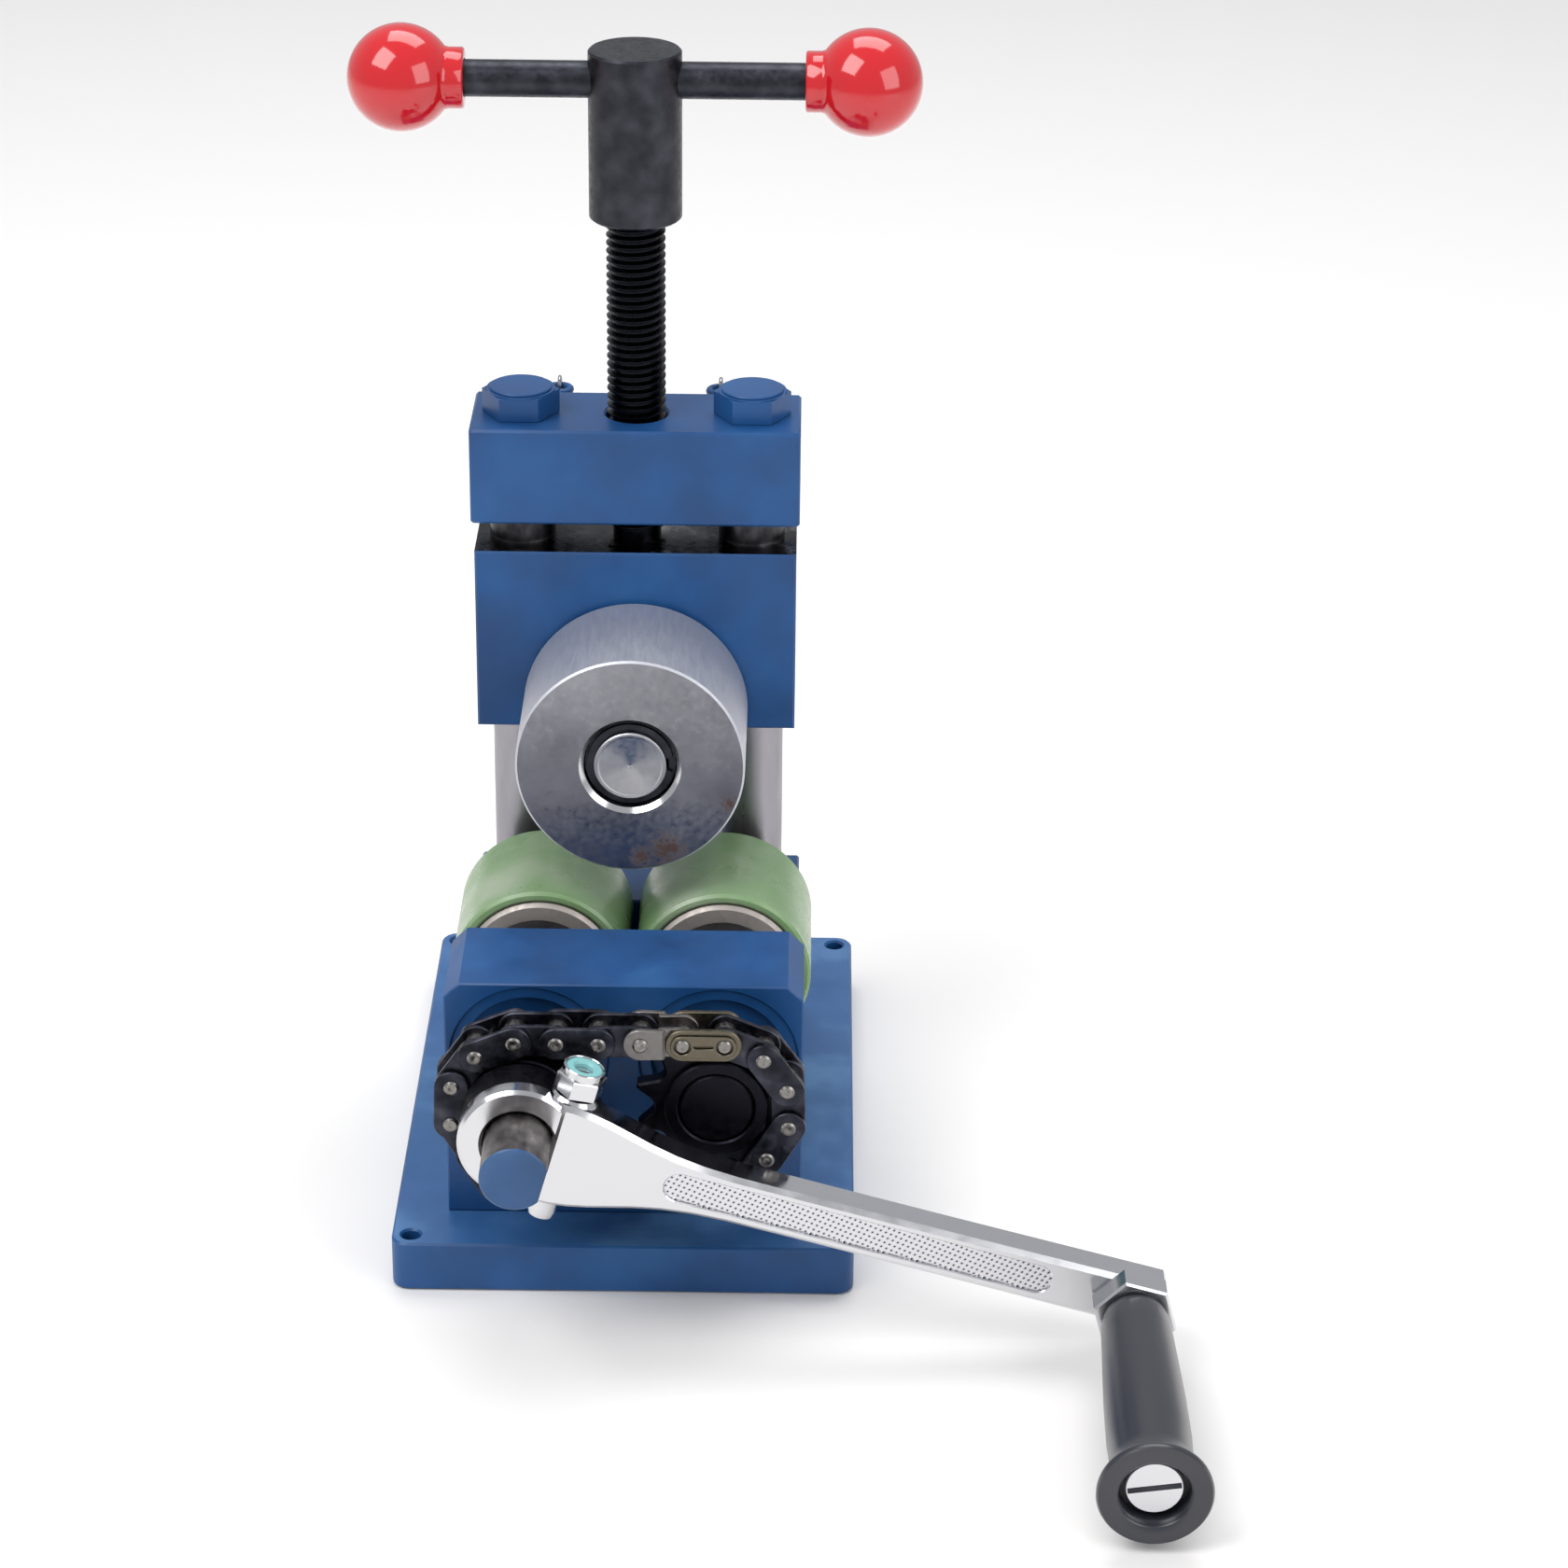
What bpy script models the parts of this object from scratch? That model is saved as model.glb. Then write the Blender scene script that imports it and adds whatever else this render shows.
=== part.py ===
"""Hand cranked ring bending machine: one named object per piece, in metres, +Z up, crank towards -Y."""

import math

import bpy
from mathutils import Matrix

NAME = "ring_bending_machine"

# Facet counts
SIDES_LARGE = 24
SIDES_MID = 16
SIDES_SMALL = 10
SIDES_PIN = 6
MERGE = 0.0001
GAP = 0.0003
CUT_OVER = 0.002

# Base plate; Y is measured from its front edge and the whole is moved back by half its depth
BASE_WIDTH = 0.108
BASE_DEPTH = 0.158
BASE_THICK = 0.0124
BASE_CORNER = 0.004
BASE_HOLE_RADIUS = 0.0021
BASE_HOLE_SINK_RADIUS = 0.0031
BASE_HOLE_SINK_DEPTH = 0.001
BASE_HOLE_EDGE = 0.0045
SHIFT_Y = -BASE_DEPTH / 2

# Front bearing block
FRONT_WIDTH = 0.083
FRONT_Y = 0.0152
FRONT_DEPTH = 0.0285
FRONT_TOP = 0.073
FRONT_CHAMFER = 0.0035
EDGE_BREAK = 0.0006
BEVEL_ANGLE = math.radians(50)

# Roller shafts
AXIS_Z = 0.0535
CENTRES = 0.044
SHAFT_RADIUS = 0.0085
CRANK_SHAFT_RADIUS = 0.0078
BEARING_RADIUS = 0.0175
BEARING_WIDTH = 0.010
BEARING_FACE_STEP = 0.0008
BEARING_FACE_IN = 0.0022
BEARING_INSET = 0.0022
RING_SEAT_EXTRA = 0.0011
RING_THICK = 0.0012
RING_INNER_IN = 0.0022
RING_SEAT_INSET = 0.0006
SHOULDER_RADIUS = 0.0135

# Lower rollers
ROLLER_FRONT = 0.0584
ROLLER_LENGTH = 0.0349
LOWER_RADIUS = 0.0212
CORE_RADIUS = 0.0184
COLLAR_RADIUS = 0.0145
COLLAR_FRONT_GAP = 0.0006
CORE_STEP = 0.0004
CORE_SHORT = 0.0068
END_WASHER_RADIUS = 0.0125
END_WASHER_THICK = 0.0018
END_HEAD_RADIUS = 0.0062
END_HEAD_HEIGHT = 0.0045
END_BOLT_RADIUS = 0.0035
END_BOLT_DEPTH = 0.016

# Sprockets and chain
PITCH = 0.009525
TEETH = 11
CHAIN_Y = -0.0034
CHAIN_LINKS = 21
TOP_SPAN_LINKS = 5
RUN_LEAN = math.radians(6)
SPROCKET_THICK = 0.0042
TOOTH_TIP = 0.0187
TOOTH_ROOT = 0.0139
TOOTH_FLANK = 0.0166
TOOTH_ROOT_SHARE = 0.30
TOOTH_FLANK_SHARE = 0.20
TOOTH_TIP_SHARE = 0.07
HUB_RADIUS = 0.0119
HUB_FRONT = 0.0018
HUB_BACK_RADIUS = 0.0117
HUB_BLOCK_GAP = 0.0006
PLATE_THICK = 0.00125
PLATE_HALF = 0.00392
INNER_HALF_WIDTH = 0.0025
LAYER_GAP = 0.0001
PIN_RADIUS = 0.0017
PIN_PROUD = 0.0007
CHAIN_STEPS = 3
CLIP_THICK = 0.0006
CLIP_HALF = 0.0027
CLIP_SLOT_HALF = 0.00045

# Crank
EYE_BACK = -0.0112
EYE_FRONT = -0.0256
EYE_RADIUS = 0.0138
SHAFT_FRONT = -0.0400
SHAFT_FLAT = 0.0066
CRANK_LENGTH = 0.1445
CRANK_ANGLE = math.radians(-15.6)
ARM_HALF = 0.0058
ARM_END_HALF = 0.0060
ARM_FLARE_AT = 0.0135
ARM_FLARE_HALF = 0.0124
ARM_NECK_AT = 0.031
ARM_NECK_HALF = 0.0080
ARM_WAIST_AT = 0.050
ARM_END_EXTRA = 0.0068
ARM_THICK = 0.009
ARM_BREAK = 0.0008
ARM_LIP = 0.0005
PANEL_FROM = 0.034
PANEL_TO = 0.125
PANEL_HALF = 0.0034
PANEL_DEEP = 0.0007
COTTER_OFFSET = 0.0098
COTTER_RADIUS = 0.0034
COTTER_BOTTOM = 0.0195
COTTER_TOP = 0.0135
COTTER_THREAD_RADIUS = 0.0028
COTTER_THREAD_TOP = 0.0205
COTTER_TIP_SHARE = 0.75
NUT_HALF = 0.0050
NUT_HEIGHT = 0.0062
NUT_SEAT_HALF = 0.0058

# Grip and its spindle
HEX_HALF = 0.0085
HEX_THICK = 0.0065
SPINDLE_RADIUS = 0.004
SPINDLE_HEAD_RADIUS = 0.0064
SPINDLE_HEAD_THICK = 0.0028
SPINDLE_SLOT_HALF = 0.0007
SPINDLE_SLOT_DEEP = 0.0012
SLOT_TURN = math.radians(-8)
SPINDLE_HEAD_INSET = 0.0030
GRIP_END = -0.1017
GRIP_RECESS = 0.0060
GRIP_RECESS_RADIUS = 0.0079
GRIP_RADIUS = 0.0092
GRIP_PROFILE_SHARES = ((0.0, 0.761), (0.02, 0.859), (0.12, 0.880), (0.5, 1.0), (0.86, 0.978), (0.93, 1.065),
                       (0.955, 1.304), (0.985, 1.370), (1.0, 1.326))

# Rear column block, columns, slide block and top block
REAR_Y = 0.0943
REAR_DEPTH = 0.027
PEDESTAL_WIDTH = 0.080
PEDESTAL_TOP = 0.0548
COLUMN_X = 0.0276
COLUMN_RADIUS = 0.008
COLUMN_SEAT = 0.020
COLUMN_CHAMFER = 0.0006
TOP_WIDTH = 0.0785
TOP_BOTTOM = 0.1548
TOP_HEIGHT = 0.0238
TOP_SOCKET = 0.004
SLIDE_WIDTH = 0.077
SLIDE_BOTTOM = 0.1021
SLIDE_TOP = 0.1477
SLIDE_BOSS_HALF = 0.0165
SLIDE_BOSS_DROP = 0.0095
BOLT_RADIUS = 0.005
BOLT_HEAD_HALF = 0.008
BOLT_HEAD_HEIGHT = 0.0064
BOLT_HEAD_CROWN = 0.0006
BOLT_DEPTH = 0.022
BASE_SCREW_RADIUS = 0.0035
BASE_SCREW_HEAD_RADIUS = 0.0062
BASE_SCREW_HEAD = 0.006
BASE_SCREW_LENGTH = 0.026
BASE_SCREW_X = 0.034
BASE_SCREW_KEY_HALF = 0.0026
BASE_SCREW_KEY_DEEP = 0.003

# Upper roller
UPPER_Z = 0.1082
UPPER_RADIUS = 0.0271
UPPER_BORE = 0.0113
UPPER_CHAMFER = 0.0006
BUSH_INSET = 0.0030
BUSH_BACK_INSET = 0.0006
UPPER_SHAFT_INSET = 0.0004
UPPER_SHAFT_REAR_RADIUS = 0.007
UPPER_SHAFT_REAR_OUT = 0.009
CIRCLIP_AT = 0.0017
CIRCLIP_THICK = 0.0009
CIRCLIP_RADIUS = 0.0102
CIRCLIP_SEAT_DEEP = 0.0006
CIRCLIP_GAP_HALF = 0.0012
ROLLER_END_GAP = 0.0010
SHAFT_NUT_HALF = 0.0105
SHAFT_NUT_THICK = 0.0065

# Screw, hub, bar and knobs
SCREW_RADIUS = 0.007
SCREW_FOOT = 0.1425
SCREW_FOOT_RADIUS = 0.0058
SCREW_FOOT_NECK = 0.0025
POCKET_BOTTOM = 0.1385
POCKET_RADIUS = 0.0082
PAD_RADIUS = 0.0078
HUB_BOTTOM = 0.2272
HUB_HEIGHT = 0.0402
HUB_TOP = HUB_BOTTOM + HUB_HEIGHT
SCREW_HUB_RADIUS = 0.0109
SCREW_IN_HUB = 0.016
HUB_BREAK = 0.0007
BAR_BELOW_TOP = 0.0072
BAR_Z = HUB_TOP - BAR_BELOW_TOP
BAR_RADIUS = 0.0043
KNOB_X = 0.0540
KNOB_RADIUS = 0.0125
KNOB_COLLAR_RADIUS = 0.0070
KNOB_COLLAR_OUT = 0.0022
KNOB_SOCKET = 0.009
KNOB_MARKS = (0, 26, 52, 78, 106, 134)

# Return springs and their eye screws
SPRING_X = 0.0196
EYE_OUT = 0.0065
EYE_WIRE = 0.0009
EYE_MAJOR = 0.0027
EYE_SHANK = 0.008
EYE_BLEND = 0.0004
UPPER_EYE_Z = 0.1768
LOWER_EYE_Z = 0.1310
HOOK_RADIUS = 0.0020
SPRING_WIRE = 0.0005
SPRING_RADIUS = 0.0032
SPRING_CURLS = 8
SPRING_CURL_POINTS = 8
SPRING_LEAD = 0.0035
HOOK_STEPS = 6
HOOK_START = math.radians(300)
HOOK_STEP = math.radians(50)

PIN_CIRCLE = PITCH / (2 * math.sin(math.pi / TEETH))
STEP_ANGLE = 2 * math.pi / TEETH
LEFT_X = -CENTRES / 2
RIGHT_X = CENTRES / 2
REAR_MID_Y = REAR_Y + REAR_DEPTH / 2
ROLLER_REAR = ROLLER_FRONT + ROLLER_LENGTH
TOP_TOP = TOP_BOTTOM + TOP_HEIGHT

for stale in list(bpy.data.objects):
    bpy.data.objects.remove(stale, do_unlink=True)

parts = bpy.data.collections.new(NAME)
cutters = bpy.data.collections.new("cutters")
bpy.context.scene.collection.children.link(parts)
bpy.context.scene.collection.children.link(cutters)

PAINTS = {}


def paint(label, colour, metallic, roughness):
    """A Principled material with its own name, made once."""
    if label not in PAINTS:
        made = bpy.data.materials.new(label)
        made.use_nodes = True
        shader = made.node_tree.nodes["Principled BSDF"]
        shader.inputs["Base Color"].default_value = (*colour, 1.0)
        shader.inputs["Metallic"].default_value = metallic
        shader.inputs["Roughness"].default_value = roughness
        made.diffuse_color = (*colour, 1.0)
        PAINTS[label] = made
    return PAINTS[label]


BLUE = paint("blue_paint", (0.02, 0.08, 0.26), 0.0, 0.4)
STEEL = paint("machined_steel", (0.35, 0.35, 0.37), 1.0, 0.35)
BRIGHT = paint("bright_plating", (0.8, 0.8, 0.8), 1.0, 0.15)
BLACK = paint("black_oxide", (0.02, 0.02, 0.024), 0.6, 0.4)
CHAIN_STEEL = paint("chain_steel", (0.05, 0.05, 0.06), 0.8, 0.4)
BRONZE = paint("bronze", (0.35, 0.2, 0.07), 1.0, 0.4)
URETHANE = paint("green_urethane", (0.3, 0.45, 0.22), 0.0, 0.4)
GRIP_PLASTIC = paint("grip_plastic", (0.07, 0.075, 0.09), 0.0, 0.5)
RED_PLASTIC = paint("red_plastic", (0.7, 0.02, 0.025), 0.0, 0.15)
SPRING_STEEL = paint("spring_steel", (0.3, 0.3, 0.32), 1.0, 0.3)


def link(item, material, origin, turn, keep=True):
    """Puts an object in its collection at a place given from the base plate's front edge."""
    item.matrix_world = Matrix.Translation((origin[0], origin[1] + SHIFT_Y, origin[2])) @ turn
    if keep:
        parts.objects.link(item)
        item.data.materials.append(material)
    else:
        cutters.objects.link(item)
        item.hide_render = True
        item.display_type = "WIRE"
    return item


UPRIGHT = Matrix.Identity(4)
ALONG_Y = Matrix.Rotation(-math.pi / 2, 4, "X")
ALONG_X = Matrix.Rotation(math.pi / 2, 4, "Y")
FACE_FRONT = Matrix.Rotation(math.pi / 2, 4, "X")


def lathe(label, profile, steps, origin, turn=UPRIGHT, material=STEEL, closed=False, keep=True):
    """A turned body: the profile is (radius, height), top to bottom, about the object's own Z."""
    mesh = bpy.data.meshes.new(label)
    points = [(radius, 0.0, height) for radius, height in profile]
    edges = [(i, i + 1) for i in range(len(points) - 1)]
    if closed:
        edges.append((len(points) - 1, 0))
    mesh.from_pydata(points, edges, [])
    item = bpy.data.objects.new(label, mesh)
    screw = item.modifiers.new("turned", "SCREW")
    screw.steps = steps
    screw.render_steps = steps
    screw.use_merge_vertices = True
    screw.merge_threshold = MERGE
    screw.use_smooth_shade = False
    return link(item, material, origin, turn, keep)


def rod(label, radius, low, high, steps, origin, turn=UPRIGHT, material=STEEL, keep=True, edge=0.0):
    """A solid round bar from low to high along the turned Z."""
    if edge:
        profile = [(0.0, high), (radius - edge, high), (radius, high - edge), (radius, low + edge),
                   (radius - edge, low), (0.0, low)]
    else:
        profile = [(0.0, high), (radius, high), (radius, low), (0.0, low)]
    return lathe(label, profile, steps, origin, turn, material, False, keep)


def tube(label, outer, inner, low, high, steps, origin, turn=UPRIGHT, material=STEEL):
    """A plain ring from low to high."""
    profile = [(inner, high), (outer, high), (outer, low), (inner, low)]
    return lathe(label, profile, steps, origin, turn, material, True)


def box(label, size, centre, material=BLUE, keep=True, turn=UPRIGHT):
    """A box about its own centre."""
    x, y, z = (side / 2 for side in size)
    points = [(a, b, c) for a in (-x, x) for b in (-y, y) for c in (-z, z)]
    faces = [(0, 1, 3, 2), (4, 6, 7, 5), (0, 4, 5, 1), (2, 3, 7, 6), (0, 2, 6, 4), (1, 5, 7, 3)]
    mesh = bpy.data.meshes.new(label)
    mesh.from_pydata(points, [], faces)
    return link(bpy.data.objects.new(label, mesh), material, centre, turn, keep)


def slab(label, outlines, low, high, origin, turn=UPRIGHT, material=STEEL, keep=True):
    """A flat plate: closed outlines in its own XY (the first one outside), from low to high along its Z."""
    curve = bpy.data.curves.new(label, "CURVE")
    curve.dimensions = "2D"
    curve.fill_mode = "BOTH"
    curve.extrude = (high - low) / 2
    for outline in outlines:
        spline = curve.splines.new("POLY")
        spline.points.add(len(outline) - 1)
        for point, (x, y) in zip(spline.points, outline):
            point.co = (x, y, 0.0, 1.0)
        spline.use_cyclic_u = True
    item = bpy.data.objects.new(label, curve)
    middle = Matrix.Translation((0.0, 0.0, (low + high) / 2))
    return link(item, material, origin, turn @ middle, keep)


def as_mesh(item):
    """Turns a curve object into a mesh object with the same name, place and material."""
    bpy.context.view_layer.update()
    made = bpy.data.meshes.new_from_object(item.evaluated_get(bpy.context.evaluated_depsgraph_get()))
    label, matrix, home = item.name, item.matrix_world.copy(), list(item.users_collection)
    hidden = item.hide_render
    bpy.data.objects.remove(item, do_unlink=True)
    fresh = bpy.data.objects.new(label, made)
    fresh.matrix_world = matrix
    for group in home:
        group.objects.link(fresh)
    if hidden:
        fresh.hide_render = True
        fresh.display_type = "WIRE"
    weld = fresh.modifiers.new("weld", "WELD")
    weld.merge_threshold = MERGE / 10
    return fresh


def combine(target, operand, operation):
    """Adds an exact Boolean."""
    step = target.modifiers.new(operation.lower(), "BOOLEAN")
    step.operation = operation
    step.solver = "EXACT"
    step.object = operand


def bevel(item, width):
    """Breaks the sharp edges of a body."""
    step = item.modifiers.new("bevel", "BEVEL")
    step.width = width
    step.segments = 1
    step.limit_method = "ANGLE"
    step.angle_limit = BEVEL_ANGLE


def circle(radius, sides, centre=(0.0, 0.0), start=0.0):
    """A round outline."""
    return [(centre[0] + radius * math.cos(start + 2 * math.pi * i / sides),
             centre[1] + radius * math.sin(start + 2 * math.pi * i / sides)) for i in range(sides)]


def hexagon(half, start=0.0):
    """A six sided outline by half its width across flats."""
    return circle(half / math.cos(math.pi / 6), 6, (0.0, 0.0), start)


def hole(target, label, radius, low, high, steps, origin, turn=UPRIGHT):
    """Cuts a round hole."""
    combine(target, rod(label, radius, low, high, steps, origin, turn, STEEL, False), "DIFFERENCE")


# Base plate, its corner holes and the holes for the block screws
half_x = BASE_WIDTH / 2
corner = BASE_CORNER
base_outline = [(-half_x + corner, 0.0), (half_x - corner, 0.0), (half_x, corner),
                (half_x, BASE_DEPTH - corner),
                (half_x - corner, BASE_DEPTH), (-half_x + corner, BASE_DEPTH),
                (-half_x, BASE_DEPTH - corner),
                (-half_x, corner)]
base = as_mesh(slab("base_plate", [base_outline], 0.0, BASE_THICK, (0.0, 0.0, 0.0), UPRIGHT, BLUE))
for side_x in (-1, 1):
    for edge_y in (BASE_HOLE_EDGE, BASE_DEPTH - BASE_HOLE_EDGE):
        spot = (side_x * (half_x - BASE_HOLE_EDGE), edge_y, 0.0)
        sunk = BASE_THICK - BASE_HOLE_SINK_DEPTH
        profile = [(0.0, BASE_THICK + CUT_OVER), (BASE_HOLE_SINK_RADIUS, BASE_THICK + CUT_OVER),
                   (BASE_HOLE_SINK_RADIUS, BASE_THICK), (BASE_HOLE_RADIUS, sunk),
                   (BASE_HOLE_RADIUS, -CUT_OVER), (0.0, -CUT_OVER)]
        combine(base, lathe("corner_hole_cut", profile, SIDES_SMALL, spot, UPRIGHT, STEEL, False, False),
                "DIFFERENCE")
SCREW_SPOTS = [(side * BASE_SCREW_X, place) for place in (FRONT_Y + FRONT_DEPTH / 2,
                                                          REAR_MID_Y) for side in (-1, 1)]
SCREW_NAMES = ["front_block_screw_left", "front_block_screw_right", "rear_block_screw_left",
               "rear_block_screw_right"]
for (x, y), label in zip(SCREW_SPOTS, SCREW_NAMES):
    profile = [(0.0, BASE_THICK + CUT_OVER), (BASE_SCREW_RADIUS + GAP, BASE_THICK + CUT_OVER),
               (BASE_SCREW_RADIUS + GAP, BASE_SCREW_HEAD + 2 * GAP),
               (BASE_SCREW_HEAD_RADIUS + GAP, BASE_SCREW_HEAD + 2 * GAP),
               (BASE_SCREW_HEAD_RADIUS + GAP, -CUT_OVER), (0.0, -CUT_OVER)]
    combine(base, lathe(label + "_cut", profile, SIDES_SMALL, (x, y, 0.0), UPRIGHT, STEEL, False, False),
            "DIFFERENCE")
    key = BASE_SCREW_KEY_HALF
    profile = [(0.0, BASE_SCREW_HEAD + BASE_SCREW_LENGTH),
               (BASE_SCREW_RADIUS, BASE_SCREW_HEAD + BASE_SCREW_LENGTH),
               (BASE_SCREW_RADIUS, BASE_SCREW_HEAD), (BASE_SCREW_HEAD_RADIUS, BASE_SCREW_HEAD),
               (BASE_SCREW_HEAD_RADIUS, GAP), (key, GAP), (key, BASE_SCREW_KEY_DEEP),
               (0.0, BASE_SCREW_KEY_DEEP)]
    lathe(label, profile, SIDES_SMALL, (x, y, 0.0), UPRIGHT, BLACK)

# Front bearing block with stepped bores
front_height = FRONT_TOP - BASE_THICK - GAP
half_w = FRONT_WIDTH / 2
low_z = BASE_THICK + GAP
cut = FRONT_CHAMFER
block_outline = [(-half_w, low_z), (half_w, low_z), (half_w, FRONT_TOP - cut), (half_w - cut, FRONT_TOP),
                 (-half_w + cut, FRONT_TOP), (-half_w, FRONT_TOP - cut)]
front_block = as_mesh(slab("front_bearing_block", [block_outline], -FRONT_DEPTH, 0.0, (0.0, FRONT_Y, 0.0),
                           FACE_FRONT, BLUE))
seat = BEARING_RADIUS + GAP
deep = BEARING_INSET + BEARING_WIDTH + GAP
groove_a = RING_SEAT_INSET
groove_b = RING_SEAT_INSET + RING_THICK + 2 * GAP
bore_profile = [
    (0.0, FRONT_DEPTH + CUT_OVER), (seat, FRONT_DEPTH + CUT_OVER), (seat, FRONT_DEPTH - deep),
    (SHOULDER_RADIUS, FRONT_DEPTH - deep),
    (SHOULDER_RADIUS, deep), (seat, deep), (seat, groove_b), (seat + RING_SEAT_EXTRA, groove_b),
    (seat + RING_SEAT_EXTRA, groove_a), (seat, groove_a), (seat, -CUT_OVER), (0.0, -CUT_OVER)]
for side, x in (("left", LEFT_X), ("right", RIGHT_X)):
    spot = (x, FRONT_Y, AXIS_Z)
    combine(front_block,
            lathe(side + "_bore_cut", bore_profile, SIDES_LARGE, spot, ALONG_Y, STEEL, False, False),
            "DIFFERENCE")
    inner = SHAFT_RADIUS + GAP
    outer = BEARING_RADIUS
    step = BEARING_FACE_STEP
    for place, start in (("front", BEARING_INSET), ("rear", FRONT_DEPTH - BEARING_INSET - BEARING_WIDTH)):
        end = start + BEARING_WIDTH
        profile = [(inner, end), (outer, end), (outer, start), (outer - BEARING_FACE_IN, start),
                   (outer - BEARING_FACE_IN, start + step), (inner + BEARING_FACE_IN, start + step),
                   (inner + BEARING_FACE_IN, start), (inner, start)]
        lathe(f"{side}_{place}_bearing", profile, SIDES_MID, spot, ALONG_Y, STEEL, True)
    ring_out = seat + RING_SEAT_EXTRA - GAP
    tube(f"{side}_retaining_ring", ring_out, seat - RING_INNER_IN, RING_SEAT_INSET + GAP,
         RING_SEAT_INSET + GAP + RING_THICK, SIDES_LARGE, spot, ALONG_Y, BLACK)

# Rear column block, columns, top block and its bolts
pedestal = box("rear_column_block", (PEDESTAL_WIDTH, REAR_DEPTH, PEDESTAL_TOP - BASE_THICK - GAP),
               (0.0, REAR_MID_Y, (PEDESTAL_TOP + BASE_THICK + GAP) / 2))
bevel(pedestal, EDGE_BREAK)
top = box("top_block", (TOP_WIDTH, REAR_DEPTH, TOP_HEIGHT), (0.0, REAR_MID_Y, TOP_BOTTOM + TOP_HEIGHT / 2))
bevel(top, EDGE_BREAK)
slide = box("slide_block", (SLIDE_WIDTH, REAR_DEPTH, SLIDE_TOP - SLIDE_BOTTOM),
            (0.0, REAR_MID_Y, (SLIDE_TOP + SLIDE_BOTTOM) / 2))
boss_over = SLIDE_BOSS_DROP
boss = box("slide_boss_add", (2 * SLIDE_BOSS_HALF, REAR_DEPTH - 4 * EDGE_BREAK, 2 * boss_over),
           (0.0, REAR_MID_Y, SLIDE_BOTTOM), STEEL, False)
bevel(slide, EDGE_BREAK)
combine(slide, boss, "UNION")
for (x, y), label in zip(SCREW_SPOTS, SCREW_NAMES):
    target = front_block if y < REAR_Y else pedestal
    hole(target, label + "_tap_cut", BASE_SCREW_RADIUS + GAP, 0.0, BASE_SCREW_HEAD + BASE_SCREW_LENGTH + GAP,
         SIDES_SMALL, (x, y, 0.0))
for side, x in (("left", -COLUMN_X), ("right", COLUMN_X)):
    spot = (x, REAR_MID_Y, 0.0)
    foot = PEDESTAL_TOP - COLUMN_SEAT
    head = TOP_BOTTOM + TOP_SOCKET
    hole(pedestal, side + "_column_seat_cut", COLUMN_RADIUS + GAP, foot - GAP, PEDESTAL_TOP + CUT_OVER,
         SIDES_MID, spot)
    wide = COLUMN_RADIUS + GAP
    thin = BOLT_RADIUS + GAP
    profile = [(0.0, TOP_TOP + CUT_OVER), (thin, TOP_TOP + CUT_OVER), (thin, head + GAP), (wide, head + GAP),
               (wide, TOP_BOTTOM - CUT_OVER), (0.0, TOP_BOTTOM - CUT_OVER)]
    combine(top, lathe(side + "_column_socket_cut", profile, SIDES_MID, spot, UPRIGHT, STEEL, False, False),
            "DIFFERENCE")
    hole(slide, side + "_guide_cut", COLUMN_RADIUS + GAP, SLIDE_BOTTOM - CUT_OVER, SLIDE_TOP + CUT_OVER,
         SIDES_MID, spot)
    tip = TOP_TOP - BOLT_DEPTH - TOP_SOCKET
    profile = [(0.0, tip - GAP), (BOLT_RADIUS + GAP, tip - GAP), (BOLT_RADIUS + GAP, head),
               (COLUMN_RADIUS - COLUMN_CHAMFER, head), (COLUMN_RADIUS, head - COLUMN_CHAMFER),
               (COLUMN_RADIUS, foot + COLUMN_CHAMFER), (COLUMN_RADIUS - COLUMN_CHAMFER, foot), (0.0, foot)]
    lathe(side + "_guide_column", profile, SIDES_MID, spot, UPRIGHT, STEEL)
    bolt = as_mesh(slab(side + "_top_bolt", [hexagon(BOLT_HEAD_HALF)], TOP_TOP + GAP,
                        TOP_TOP + GAP + BOLT_HEAD_HEIGHT, spot, UPRIGHT, BLUE))
    combine(bolt,
            rod(side + "_bolt_shank_add", BOLT_RADIUS, tip, TOP_TOP + 2 * BOLT_HEAD_CROWN, SIDES_SMALL, spot,
                      UPRIGHT, STEEL, False), "UNION")
hole(top, "screw_tap_cut", SCREW_RADIUS + GAP, TOP_BOTTOM - CUT_OVER, TOP_TOP + CUT_OVER, SIDES_MID,
     (0.0, REAR_MID_Y, 0.0))
hole(slide, "pad_pocket_cut", POCKET_RADIUS, POCKET_BOTTOM, SLIDE_TOP + CUT_OVER, SIDES_MID,
     (0.0, REAR_MID_Y, 0.0))
UPPER_SPOT = (0.0, 0.0, UPPER_Z)
hole(slide, "upper_shaft_cut", UPPER_SHAFT_REAR_RADIUS + GAP, REAR_Y - CUT_OVER,
     REAR_Y + REAR_DEPTH + CUT_OVER,
     SIDES_MID, UPPER_SPOT, ALONG_Y)

# Upper roller, its bush, shaft, circlip and nut
roller_back = REAR_Y - ROLLER_END_GAP
chamfer = UPPER_CHAMFER
profile = [(UPPER_BORE + chamfer, roller_back), (UPPER_RADIUS - chamfer, roller_back),
           (UPPER_RADIUS, roller_back - chamfer), (UPPER_RADIUS, ROLLER_FRONT + chamfer),
           (UPPER_RADIUS - chamfer, ROLLER_FRONT), (UPPER_BORE + chamfer, ROLLER_FRONT),
           (UPPER_BORE, ROLLER_FRONT + chamfer), (UPPER_BORE, roller_back - chamfer)]
lathe("upper_roller", profile, SIDES_LARGE, UPPER_SPOT, ALONG_Y, STEEL, True)
tube("upper_roller_bush", UPPER_BORE - GAP, SHAFT_RADIUS + GAP, ROLLER_FRONT + BUSH_INSET,
     roller_back - BUSH_BACK_INSET, SIDES_MID, UPPER_SPOT, ALONG_Y, BRONZE)
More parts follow.
